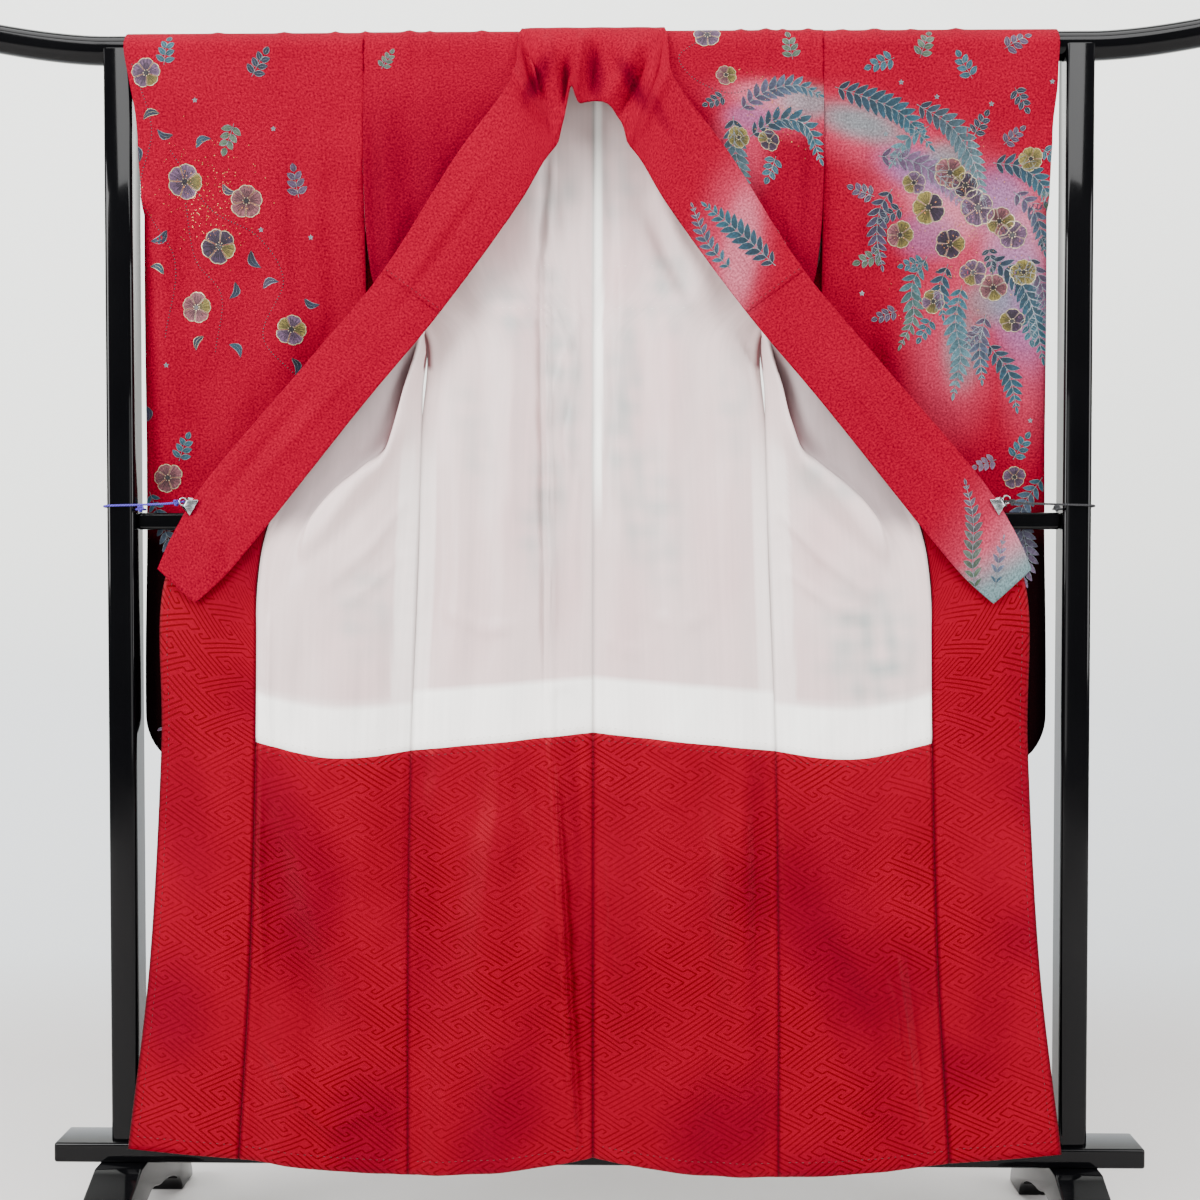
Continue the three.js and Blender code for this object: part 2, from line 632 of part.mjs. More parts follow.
// An arched foot across the stand, with a flat under each toe.
function footGeometry() {
  const top = BAR_TOP - BAR_HEIGHT - JOINT_GAP;
  const chamfer = 3;
  const profile = new THREE.Shape();
  profile.moveTo(-FOOT_REACH, 0);
  profile.lineTo(-FOOT_REACH + 62, 0);
  profile.bezierCurveTo(-FOOT_REACH + 70, 38, -70, 50, -44, 52);
  profile.bezierCurveTo(-26, 54, -16, 62, 0, 62);
  profile.bezierCurveTo(16, 62, 26, 54, 44, 52);
  profile.bezierCurveTo(70, 50, FOOT_REACH - 70, 38, FOOT_REACH - 62, 0);
  profile.lineTo(FOOT_REACH, 0);
  profile.bezierCurveTo(FOOT_REACH, 50, 110, 84, 56, top);
  profile.lineTo(-56, top);
  profile.bezierCurveTo(-110, 84, -FOOT_REACH, 50, -FOOT_REACH, 0);
  const geometry = new THREE.ExtrudeGeometry(profile, {
    depth: FOOT_WIDTH - 2 * chamfer,
    curveSegments: 7,
    bevelEnabled: true,
    bevelThickness: chamfer,
    bevelSize: 0.8,
    bevelOffset: -0.8,
    bevelSegments: 1,
  });
  return alongX(geometry.translate(0, 0, chamfer - FOOT_WIDTH / 2));
}

// ---------------------------------------------------------------- assembly

function mesh(name, geometry, finish) {
  const piece = new THREE.Mesh(geometry, finish);
  piece.name = name;
  return piece;
}

function buildStand() {
  const stand = new THREE.Group();
  stand.add(mesh('top_rail', topRailGeometry(), lacquer));
  const between = UPRIGHT_CENTRE - UPRIGHT_WIDTH / 2 - JOINT_GAP;
  const bar = barGeometry(between, MIDDLE_RAIL_DEPTH, MIDDLE_RAIL_HEIGHT, 4);
  const middle = mesh('middle_rail', bar, lacquer);
  middle.position.z = MIDDLE_RAIL_TOP - MIDDLE_RAIL_HEIGHT / 2;
  const base = mesh('base_bar', barGeometry(BAR_HALF_LENGTH, BAR_DEPTH, BAR_HEIGHT, 2), lacquer);
  base.position.z = BAR_TOP - BAR_HEIGHT / 2;
  stand.add(middle, base);
  for (const [name, side, cord] of [['left', -1, violetCord], ['right', 1, blackCord]]) {
    const upright = mesh(`upright_${name}`, uprightGeometry(), lacquer);
    const foot = mesh(`foot_${name}`, footGeometry(), lacquer);
    upright.position.x = side * UPRIGHT_CENTRE;
    foot.position.x = side * UPRIGHT_CENTRE;
    stand.add(upright, foot, mesh(`clip_cord_${name}`, cordGeometry(side), cord));
  }
  return stand;
}

function buildKimono() {
  const kimono = new THREE.Group();
  const body = bodyGrid();
  const overlap = overlapGrid();
  const pieces = [
    ['body', outerPly(body.whole), crepe],
    ['body_lining', liningPly(body.white), liningSilk],
    ['back_hem_lining', liningPly(body.backHem), damask],
    ['front_hem_lining', liningPly(body.frontHem), damask],
    ['overlap', outerPly(overlap), crepe],
    ['overlap_lining', liningPly(overlap), damask],
  ];
  for (const [name, geometry, finish] of pieces) {
    kimono.add(mesh(`${name}_left`, mirrored(geometry), finish));
    kimono.add(mesh(`${name}_right`, geometry, finish));
  }
  kimono.add(mesh('sleeve_left', mirrored(outerPly(sleeveGrid(LEFT_CUFF_FLARE))), crepe));
  kimono.add(mesh('sleeve_right', outerPly(sleeveGrid(0)), crepe));
  const collar = collarGrid();
  const half = COLLAR_THICKNESS / 2;
  kimono.add(mesh('collar', wall(collar.whole, -half, half), crepe));
  kimono.add(mesh('cover_collar', wall(collar.covered, -half - PLY_GAP - 0.9, -half - PLY_GAP), crepe));
  for (const [name, side] of [['left', -1], ['right', 1]]) {
    const clip = mesh(`collar_clip_${name}`, clipGeometry(), steel);
    clip.position.set(side * CLIP_AT.x, CLIP_AT.y, CLIP_AT.z);
    clip.rotation.y = side > 0 ? -radians(CLIP_TILT) : Math.PI + radians(CLIP_TILT);
    kimono.add(clip);
  }
  kimono.position.x = KIMONO_OFFSET;
  return kimono;
}

const part = new THREE.Group();
part.add(buildStand(), buildKimono());

export default part;
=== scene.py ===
import math
import bmesh
import bpy
import numpy as np
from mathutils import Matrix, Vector


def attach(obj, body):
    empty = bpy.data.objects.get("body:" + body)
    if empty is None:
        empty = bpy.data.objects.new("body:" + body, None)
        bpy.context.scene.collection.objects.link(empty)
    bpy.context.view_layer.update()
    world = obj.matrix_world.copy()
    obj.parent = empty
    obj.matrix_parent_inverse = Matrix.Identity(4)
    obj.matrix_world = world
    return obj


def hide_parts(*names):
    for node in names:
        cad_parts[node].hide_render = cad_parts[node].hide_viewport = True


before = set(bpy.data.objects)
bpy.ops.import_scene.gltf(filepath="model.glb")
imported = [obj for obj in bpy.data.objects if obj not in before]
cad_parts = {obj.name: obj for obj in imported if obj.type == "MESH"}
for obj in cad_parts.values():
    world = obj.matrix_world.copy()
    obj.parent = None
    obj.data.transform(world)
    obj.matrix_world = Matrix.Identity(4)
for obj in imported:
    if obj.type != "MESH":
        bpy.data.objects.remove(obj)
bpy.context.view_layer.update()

MM = 0.001
KIMONO_X = -5.0  # the garment hangs a little left of the stand's centre


# ---------- small tools

def linear(hex_colour):
    """An sRGB hex colour as a linear one."""
    value = [int(hex_colour[k:k + 2], 16) / 255 for k in (1, 3, 5)]
    return np.array([v / 12.92 if v <= 0.04045 else ((v + 0.055) / 1.055) ** 2.4 for v in value])


# the dyes and threads of the motifs
DYES = {name: linear(colour) for name, colour in (
    ("navy", "#0a121e"), ("teal", "#10303a"), ("mist", "#35494e"), ("plum", "#2c1e30"),
    ("mauve", "#503a50"), ("sage", "#2b382a"), ("straw", "#665b2a"), ("ivory", "#8d8266"),
    ("rose", "#63393f"), ("silver", "#586167"), ("gold", "#8f5a2c"), ("ink", "#0c080e"))}
NAVY, TEAL, MIST, PLUM, MAUVE, SAGE, STRAW, IVORY, ROSE, SILVER, GOLD, INK = DYES.values()
DYES["light_navy"] = NAVY * 2.0


def rows(text):
    """Rows of numbers and dyes, from words in rows that commas or line ends part."""
    return [[DYES[word] if word in DYES else float(word) for word in row.split()]
            for row in text.replace("\n", ",").split(",") if row.strip()]


def smooth_curve(points, at):
    """Points at places along a centripetal curve through the first axis of points."""
    p = np.asarray(points, float)
    last = len(p) - 1
    at = np.clip(np.atleast_1d(np.asarray(at, float)), 0, last)
    k = np.minimum(at.astype(int), last - 1)
    w = (at - k).reshape((-1,) + (1,) * (p.ndim - 1))
    p = np.concatenate([2 * p[:1] - p[1:2], p, 2 * p[-1:] - p[-2:-1]])
    p0, p1, p2, p3 = p[k], p[k + 1], p[k + 2], p[k + 3]

    def span(a, b):
        return np.sqrt(np.maximum(np.linalg.norm(b - a, axis=-1, keepdims=True), 1e-6))

    d0, d1, d2 = span(p0, p1), span(p1, p2), span(p2, p3)
    t1 = ((p1 - p0) / d0 - (p2 - p0) / (d0 + d1) + (p2 - p1) / d1) * d1
    t2 = ((p2 - p1) / d1 - (p3 - p1) / (d1 + d2) + (p3 - p2) / d2) * d1
    return (((2 * p1 - 2 * p2 + t1 + t2) * w - 3 * p1 + 3 * p2 - 2 * t1 - t2) * w + t1) * w + p1


def run_along(path):
    """Distance along a path to each of its points."""
    return np.concatenate([[0], np.cumsum(np.linalg.norm(np.diff(path, axis=0), axis=1))])


def unit(vectors):
    return vectors / np.maximum(np.linalg.norm(vectors, axis=-1, keepdims=True), 1e-9)


def ease(value, low, high):
    """0 up to low and 1 from high on, with a soft rise between them."""
    t = np.clip((value - low) / (high - low), 0, 1)
    return t * t * (3 - 2 * t)


def eased_table(at, places, values):
    """Values from a table sorted by rising place, eased between its rows."""
    places, values = np.asarray(places, float), np.asarray(values, float)
    at = np.clip(at, places[0], places[-1])
    k = np.clip(np.searchsorted(places, at, side="right") - 1, 0, len(places) - 2)
    t = (at - places[k]) / (places[k + 1] - places[k])
    return values[k] + (values[k + 1] - values[k]) * t * t * (3 - 2 * t)


def waves(a, b, length, seed, count=9):
    """A gentle uneven field of about this wave length, from -1 to 1, for arrays a and b."""
    rng = np.random.default_rng(seed)
    total = np.zeros(np.broadcast(a, b).shape)
    for _ in range(count):
        angle, turn = rng.uniform(0, math.tau, 2)
        k = math.tau / length * rng.uniform(0.6, 1.5)
        total += np.sin(k * (a * math.cos(angle) + b * math.sin(angle)) + turn)
    return total / math.sqrt(count * 2)


def creases(a, b, strokes):
    """Soft ridges and troughs along short lines.

    A stroke is (height, width, softness, points): height above the cloth, half width, 1 for a round
    ridge and less for a sharp one, and its points in the same a and b. It fades at both ends.
    """
    total = np.zeros(np.shape(a))
    for height, width, softness, points in strokes:
        points = np.asarray(points, float)
        steps = np.linalg.norm(np.diff(points, axis=0), axis=1)
        whole = steps.sum()
        nearest = np.full(np.shape(a), 1e9)
        along = np.zeros(np.shape(a))
        run = 0.0
        for (a0, b0), (a1, b1), step in zip(points[:-1], points[1:], steps):
            t = np.clip(((a - a0) * (a1 - a0) + (b - b0) * (b1 - b0)) / step ** 2, 0, 1)
            d = np.hypot(a - a0 - t * (a1 - a0), b - b0 - t * (b1 - b0))
            closer = d < nearest
            nearest = np.where(closer, d, nearest)
            along = np.where(closer, (run + t * step) / whole, along)
            run += step
        fade = np.sin(math.pi * np.clip(along * 0.94 + 0.03, 0, 1)) ** 0.6
        shape = softness * np.exp(-(nearest / width) ** 2)
        shape += (1 - softness) / (1 + (nearest / (0.5 * width)) ** 2) ** 1.5
        total += height * fade * shape
    return total


def strokes(text):
    """Strokes for creases, from rows that give height, width, softness and the points in pairs."""
    return [(*row[:3], np.reshape(row[3:], (-1, 2))) for row in rows(text)]


def blobs(a, b, spots):
    """How much of a soft cloud lies at each place: (a, b, radius a, radius b, turn, strength)."""
    total = np.zeros(np.shape(a))
    for ca, cb, ra, rb, turn, strength in spots:
        c, s = math.cos(math.radians(turn)), math.sin(math.radians(turn))
        da, db = a - ca, b - cb
        q = ((da * c + db * s) / ra) ** 2 + ((db * c - da * s) / rb) ** 2
        total = np.maximum(total, strength * np.exp(-q * q * 0.7))
    return total


# ---------- materials

def new_material(name):
    """A new material, its node tree and its shader."""
    material = bpy.data.materials.new(name)
    material.use_nodes = True
    return material, material.node_tree, material.node_tree.nodes["Principled BSDF"]


def fill(tree, made, inputs):
    """Link or set each input of a node, by its name or its place."""
    for key, value in inputs.items() if isinstance(inputs, dict) else enumerate(inputs):
        if isinstance(value, bpy.types.NodeSocket):
            tree.links.new(value, made.inputs[key])
        else:
            made.inputs[key].default_value = value


def node(tree, kind, inputs=(), output=0, stops=(), **settings):
    """Add a node with its settings, colour stops and inputs, and give one of its outputs."""
    made = tree.nodes.new(kind)
    for key, value in settings.items():
        setattr(made, key, value)
    if stops:
        elements = made.color_ramp.elements
        elements.remove(elements[1])
        for n, (place, tone) in enumerate(stops):
            element = elements.new(place) if n else elements[0]
            element.position = place
            element.color = (*(linear(tone) if isinstance(tone, str) else [tone] * 3), 1)
    fill(tree, made, inputs)
    return made.outputs[output] if made.outputs else None


def grain(tree, vector, size_mm, detail=2.0, roughness=0.5, stretch=(1, 1, 1)):
    """An uneven pattern with features of about size_mm, drawn out by stretch, on metres."""
    drawn_out = node(tree, "ShaderNodeVectorMath", [vector, stretch], operation="MULTIPLY")
    return node(tree, "ShaderNodeTexNoise", {
        "Vector": drawn_out, "Scale": 500 / size_mm, "Detail": detail, "Roughness": roughness})


# the Mix node's sockets for colours
COLOUR_A, COLOUR_B, MIXED_COLOUR = 6, 7, 2


def toned(tree, colour, pattern, stops):
    """The colour, made darker and lighter by a pattern."""
    tone = node(tree, "ShaderNodeValToRGB", [pattern], stops=stops)
    return node(tree, "ShaderNodeMix", {0: 1.0, COLOUR_A: colour, COLOUR_B: tone}, MIXED_COLOUR,
                data_type="RGBA", blend_type="MULTIPLY")


def new_cloth(name):
    """A cloth's new material, its node tree and shader, its own UV map and its dye."""
    material, tree, shader = new_material(name)
    return (material, tree, shader, node(tree, "ShaderNodeUVMap", uv_map="cloth"),
            node(tree, "ShaderNodeAttribute", attribute_name="dye"))


def make_crepe():
    """Silk crepe: its pebbled threads break the light into fine specks, so it looks matte. The
    pebbles are drawn 1.5 mm wide, as coarse as they need to be to show."""
    material, tree, shader, uv, dye = new_cloth("pebbled_silk_crepe")
    pebble = grain(tree, uv, 1.5, 2.0, 0.6)
    crinkle = grain(tree, uv, 7.0, 2.0, 0.5, (1, 0.55, 1))
    # painted glints: the colour runs from darker to much lighter with the pebbles, standing in for specks
    # of light on them
    colour = toned(tree, dye, pebble, [(0.3, 0.6), (0.5, 1.0), (0.7, 1.5)])
    pebbles = node(tree, "ShaderNodeBump", {"Height": pebble, "Distance": 1.1 * MM, "Strength": 0.7})
    fill(tree, shader, {
        "Base Color": toned(tree, colour, grain(tree, uv, 70), [(0.3, 0.93), (0.7, 1.05)]),
        "Roughness": node(tree, "ShaderNodeMapRange", {0: pebble, "To Min": 0.5, "To Max": 0.78}),
        "Normal": node(tree, "ShaderNodeBump", {
            "Height": crinkle, "Distance": 2 * MM, "Strength": 0.5, "Normal": pebbles}),
        "Specular IOR Level": 0.05, "Specular Tint": (*linear("#ff3a48"), 1)})
    return material


def make_plain_silk():
    """Plain white lining silk, thin enough that the dye behind it shows as a faint tint."""
    material, tree, shader, uv, dye = new_cloth("white_lining_silk")
    warp = grain(tree, uv, 3.0, 2.0, 0.5, (1, 0.03, 1))
    streak = grain(tree, uv, 14.0, 2.0, 0.5, (1, 0.05, 1))
    crumple = grain(tree, uv, 26.0, 3.0, 0.55, (1, 0.4, 1))
    colour = toned(tree, dye, warp, [(0.3, 0.955), (0.7, 1.02)])
    threads = node(tree, "ShaderNodeBump", {"Height": warp, "Distance": 0.25 * MM, "Strength": 0.35})
    fill(tree, shader, {
        "Base Color": toned(tree, colour, streak, [(0.3, 0.965), (0.7, 1.02)]),
        "Normal": node(tree, "ShaderNodeBump", {
            "Height": crumple, "Distance": 3.4 * MM, "Strength": 0.6, "Normal": threads}),
        "Roughness": 0.46, "Specular IOR Level": 0.4, "Sheen Weight": 0.2, "Sheen Roughness": 0.35})
    return material


def make_damask():
    """Figured silk: a satin ground with a woven key fret that catches the light differently."""
    material, tree, shader, uv, dye = new_cloth("red_figured_silk")
    fret = fret_lines(tree, uv)
    thread = grain(tree, uv, 1.6, 2.0, 0.5, (0.5, 1, 1))
    crumple = grain(tree, uv, 30.0, 2.0, 0.5, (1, 0.4, 1))
    colour = toned(tree, dye, thread, [(0.3, 0.92), (0.7, 1.08)])
    colour = toned(tree, colour, grain(tree, uv, 90), [(0.3, 0.9), (0.7, 1.08)])
    # the figure fades where the satin ground and the woven lines catch the light alike
    shows = node(tree, "ShaderNodeMapRange", {
        0: grain(tree, uv, 130), "From Min": 0.32, "From Max": 0.58, "To Min": 0.45, "To Max": 1.0})
    figure = node(tree, "ShaderNodeMath", [fret, shows], operation="MULTIPLY")
    lines = node(tree, "ShaderNodeBump", {"Height": fret, "Distance": 0.35 * MM, "Strength": -0.5})
    fill(tree, shader, {
        "Base Color": node(tree, "ShaderNodeMix", {
            0: figure, COLOUR_A: colour, COLOUR_B: (*linear("#bd6a76"), 1)}, MIXED_COLOUR,
            data_type="RGBA", blend_type="MULTIPLY"),
        "Roughness": node(tree, "ShaderNodeMapRange", {0: fret, "To Min": 0.36, "To Max": 0.56}),
        "Normal": node(tree, "ShaderNodeBump", {
            "Height": crumple, "Distance": 2.4 * MM, "Strength": 0.35, "Normal": lines}),
        "Specular IOR Level": 0.32, "Specular Tint": (*linear("#ff3846"), 1)})
    return material


# The fret repeats on a slanting lattice. Its unit cells are numbered 0 to 105 along a diagonal
# that passes through them all, and each holds a line on its lower side, its left side, or both.
FRET_PITCH = 7.2  # mm between lines along each slant
FRET_DOWN = -36.0  # degrees: the slant that falls to the right
FRET_UP = 26.0  # and the slant that rises to the right
FRET_CELLS = 106
FRET_STEP = 92  # cells along the diagonal for one cell up the lattice
FRET_HALF_LINE = 0.17  # of a cell
FRET_BYTES = 14  # the chart is kept as this many groups of eight cells


def fret_lines(tree, uv):
    """1 on the fret's lines and 0 on its ground."""
    down, up = math.radians(FRET_DOWN), math.radians(FRET_UP)
    k = 1000 / (FRET_PITCH * (math.cos(down) * math.sin(up) - math.sin(down) * math.cos(up)))
    x, y = node(tree, "ShaderNodeSeparateXYZ", [uv]).node.outputs[:2]
    cells, places = [], []
    for by_x, by_y in ((math.sin(up) * k, -math.cos(up) * k),
                       (-math.sin(down) * k, math.cos(down) * k)):
        part = node(tree, "ShaderNodeMath", [y, by_y], operation="MULTIPLY")
        along = node(tree, "ShaderNodeMath", [x, by_x, part], operation="MULTIPLY_ADD")
        cells.append(node(tree, "ShaderNodeMath", [along], operation="FLOOR"))
        places.append(node(tree, "ShaderNodeMath", [along, cells[-1]], operation="SUBTRACT"))
    lines = []
    for way, chart in enumerate((FRET_LEFT, FRET_LOW)):
        # near this side of the cell, or just short of the same side of the next one
        near = node(tree, "ShaderNodeMath", [places[way], FRET_HALF_LINE], operation="LESS_THAN")
        short = node(tree, "ShaderNodeMath", [places[way], 1 - FRET_HALF_LINE],
                     operation="GREATER_THAN")
        i, j = (node(tree, "ShaderNodeMath", [cell, short], operation="ADD") if n == way else cell
                for n, cell in enumerate(cells))
        number = node(tree, "ShaderNodeMath", [j, FRET_STEP, i], operation="MULTIPLY_ADD")
        number = node(tree, "ShaderNodeMath", [number, FRET_CELLS], operation="FLOORED_MODULO")
        eighth = node(tree, "ShaderNodeMath", [number, 8], operation="DIVIDE")
        group = node(tree, "ShaderNodeMath", [eighth], operation="FLOOR")
        before = node(tree, "ShaderNodeMath", [group, 8], operation="MULTIPLY")
        bit = node(tree, "ShaderNodeMath", [number, before], operation="SUBTRACT")
        middle = node(tree, "ShaderNodeMath", [group, 0.5], operation="ADD")
        place = node(tree, "ShaderNodeMath", [middle, FRET_BYTES], operation="DIVIDE")
        byte = node(tree, "ShaderNodeValToRGB", [place],
                    stops=[(n / FRET_BYTES, mask / 255) for n, mask in enumerate(chart)])
        byte.node.color_ramp.interpolation = "CONSTANT"
        whole = node(tree, "ShaderNodeMath", [byte, 255, 0.01], operation="MULTIPLY_ADD")
        power = node(tree, "ShaderNodeMath", [2, bit], operation="POWER")
        shifted = node(tree, "ShaderNodeMath", [whole, power], operation="DIVIDE")
        shifted = node(tree, "ShaderNodeMath", [shifted], operation="FLOOR")
        drawn = node(tree, "ShaderNodeMath", [shifted, 2], operation="FLOORED_MODULO")
        beside = node(tree, "ShaderNodeMath", [near, short], operation="MAXIMUM")
        lines.append(node(tree, "ShaderNodeMath", [drawn, beside], operation="MULTIPLY"))
    return node(tree, "ShaderNodeMath", lines, operation="MAXIMUM")


def fret_masks():
    """The chart of the fret: bundles of long parallel lines on one slant, tied by hooked lines to
    bundles on the other. Each entry is (across the slant p, q, length), in cells."""
    falling = [(0, 0, 10), (0, 1, 10), (0, 2, 10), (1, 3, 9)]
    rising = [(11, -1, 8), (12, -2, 9), (13, -2, 9)]
    hooks_falling = [(7, 6, 3), (7, 5, 1), (5, 4, 4), (6, 7, 5), (0, 3, 1), (0, 5, 1), (2, 6, 1),
                     (2, 4, 2), (-1, 6, 2)]
    hooks_rising = [(10, 3, 3), (7, 5, 1), (9, 4, 1), (5, 4, 1), (6, 5, 2), (0, 3, 2), (1, 4, 1),
                    (2, 4, 2), (4, 4, 1)]
    low, left = np.zeros(FRET_CELLS, int), np.zeros(FRET_CELLS, int)
    for p, q, length in falling + hooks_falling:
        for n in range(length):
            low[(p + n + FRET_STEP * q) % FRET_CELLS] = 1
    for p, q, length in rising + hooks_rising:
        for n in range(length):
            left[(p + FRET_STEP * (q + n)) % FRET_CELLS] = 1
    return [[int(sum(bits[8 * g + n] << n for n in range(min(8, FRET_CELLS - 8 * g))))
             for g in range(FRET_BYTES)] for bits in (low, left)]


FRET_LOW, FRET_LEFT = fret_masks()


def make_lacquer():
    """Polished black lacquer over wood: a deep gloss coat with faint dust-fine wear."""
    material, tree, shader = new_material("black_lacquer")
    place = node(tree, "ShaderNodeTexCoord", output="Object")
    dust = grain(tree, place, 3.0, 4.0, 0.6)
    haze = grain(tree, place, 120.0, 3.0, 0.5)
    fill(tree, shader, {
        "Base Color": node(tree, "ShaderNodeValToRGB", [haze],
                           stops=[(0.3, "#020203"), (0.75, "#060607")]),
        "Roughness": node(tree, "ShaderNodeMapRange", {0: dust, "To Min": 0.05, "To Max": 0.12}),
        "Normal": node(tree, "ShaderNodeBump", {
            "Height": haze, "Distance": 0.4 * MM, "Strength": 0.06}),
        "Coat Weight": 0.1, "Coat Roughness": 0.04, "Specular IOR Level": 0.12})
    return material


def make_steel():
    """Bright plated spring steel with fine brushed scratches."""
    material, tree, shader = new_material("plated_steel")
    place = node(tree, "ShaderNodeTexCoord", output="Object")
    scratch = grain(tree, place, 0.8, 3.0, 0.6, (0.15, 1, 1))
    fill(tree, shader, {
        "Base Color": node(tree, "ShaderNodeValToRGB", [scratch],
                           stops=[(0.3, "#77797c"), (0.7, "#b4b6b8")]),
        "Roughness": node(tree, "ShaderNodeMapRange", {0: scratch, "To Min": 0.16, "To Max": 0.34}),
        "Metallic": 1.0})
    return material


def make_cord(name, dark, light):
    """Twisted cotton cord: two tones of strand, with a matte surface."""
    material, tree, shader = new_material(name)
    uv = node(tree, "ShaderNodeUVMap", uv_map="cloth")
    twist = node(tree, "ShaderNodeTexWave", {"Vector": uv, "Scale": 160.0, "Distortion": 0.4}, 1,
                 wave_type="BANDS", bands_direction="DIAGONAL")
    fill(tree, shader, {
        "Base Color": node(tree, "ShaderNodeValToRGB", [twist], stops=[(0.2, dark), (0.8, light)]),
        "Normal": node(tree, "ShaderNodeBump", {
            "Height": twist, "Distance": 0.5 * MM, "Strength": 0.8}),
        "Roughness": 0.75})
    return material


crepe = make_crepe()
plain_silk = make_plain_silk()
damask = make_damask()
lacquer = make_lacquer()
steel = make_steel()
violet_cord = make_cord("violet_cord", "#1d1168", "#4a36a8")
black_cord = make_cord("black_cord", "#08080a", "#2a2a2e")


# ---------- meshes

def mesh_object(name, points, quads, materials, uv=None, colour=None, slots=None):
    """An object from arrays: points in mm, faces, one UV and one colour for each point."""
    mesh = bpy.data.meshes.new(name)
    mesh.from_pydata((np.asarray(points) * MM).tolist(), [], np.asarray(quads).tolist()
                     if not isinstance(quads, list) else quads)
    loops = np.empty(len(mesh.loops), int)
    mesh.loops.foreach_get("vertex_index", loops)
    if uv is not None:
        layer = mesh.uv_layers.new(name="cloth")
        layer.data.foreach_set("uv", (np.asarray(uv, float)[loops] * MM).ravel())
    if colour is not None:
        layer = mesh.color_attributes.new("dye", "FLOAT_COLOR", "POINT")
        rgba = np.concatenate([colour, np.ones((len(colour), 1))], axis=1)
        layer.data.foreach_set("color", rgba.ravel())
    for material in materials:
        mesh.materials.append(material)
    if slots is not None:
        mesh.polygons.foreach_set("material_index", slots)
    mesh.polygons.foreach_set("use_smooth", np.ones(len(mesh.polygons), bool))
    mesh.update()
    made = bpy.data.objects.new(name, mesh)
    bpy.context.scene.collection.objects.link(made)
    return made


def grid_normals(grid):
    return unit(np.cross(np.gradient(grid, axis=1), np.gradient(grid, axis=0)))


def shell(name, grid, normal, low, high, material, uv, colour):
    """Cloth with two faces, at low and high from the grid, and a rounded edge all round."""
    count = grid.shape[0] * grid.shape[1]
    index = np.arange(count).reshape(grid.shape[:2])
    top = (grid + normal * high).reshape(-1, 3)
    under = (grid + normal * low).reshape(-1, 3)
    border = np.concatenate([index[0, :], index[1:, -1], index[-1, -2::-1], index[-2:0:-1, 0]])
    inner = np.pad(index[1:-1, 1:-1], 1, mode="edge").ravel()[border]
    flat = grid.reshape(-1, 3)
    out = unit(flat[border] - flat[inner])
    middle = normal.reshape(-1, 3)[border] * (low + high) / 2
    rim = flat[border] + middle + out * (high - low) * 0.45
    a, b = index[:-1, :-1].ravel(), index[:-1, 1:].ravel()
    c, d = index[1:, 1:].ravel(), index[1:, :-1].ravel()
    edge = np.arange(len(border)) + 2 * count
    following = np.roll(edge, -1)
    border_next = np.roll(border, -1)
    quads = np.concatenate([
        np.stack([a, b, c, d], 1),
        np.stack([a, d, c, b], 1) + count,
        np.stack([border_next, border, edge, following], 1),
        np.stack([following, edge, border + count, border_next + count], 1),
    ])
    points = np.concatenate([top, under, rim])
    uv, colour = uv.reshape(-1, 2), colour.reshape(-1, 3)
    return mesh_object(name, points, quads, [material], np.concatenate([uv, uv, uv[border]]),
                       np.concatenate([colour, colour, colour[border]]))


def measured(grid):
    """Distance across each row from its first column, and down the middle column, in mm."""
    across = np.linalg.norm(np.diff(grid, axis=1), axis=-1)
    across = np.concatenate([np.zeros((len(grid), 1)), np.cumsum(across, axis=1)], axis=1)
    middle = grid[:, grid.shape[1] // 2]
    return across, np.repeat(run_along(middle)[:, None], grid.shape[1], axis=1)


def even_places(control, step, first=0, last=None):
    """Places between two control rows, about step mm apart down the middle column."""
    last = len(control) - 1 if last is None else last
    dense = np.linspace(first, last, 1 + 30 * max(1, int(round(last - first))))
    path = smooth_curve(control[:, control.shape[1] // 2], dense)
    run = run_along(path)
    count = max(2, int(round(run[-1] / step)))
    return np.interp(np.linspace(0, run[-1], count + 1), run, dense)


def tube(rings, sides):
    """Faces of a tube from the points of its rings, one ring after another, with closed ends."""
    index = np.arange(rings * sides).reshape(rings, sides)
    across = np.roll(index, -1, axis=1)
    quads = np.stack([index[:-1], across[:-1], across[1:], index[1:]], -1).reshape(-1, 4).tolist()
    return quads + [index[0, ::-1].tolist(), index[-1].tolist()]


def mirror(grid):
    """The same grid on the other side of the middle, with its columns reversed."""
    return grid[:, ::-1] * np.array([-1, 1, 1])


def placed(grid):
    return grid + np.array([KIMONO_X, 0, 0])


# ---------- the stand

RAIL_HEIGHT, RAIL_RADIUS, RAIL_HALF, RAIL_UPTURN = 1695, 20.5, 862, 20
RAIL_SIDES = 64
FLAT_EDGE = math.radians(50)  # a sharper angle between two faces keeps its edge
UPRIGHT_X, UPRIGHT_WIDTH, UPRIGHT_DEPTH = 676, 40, 48


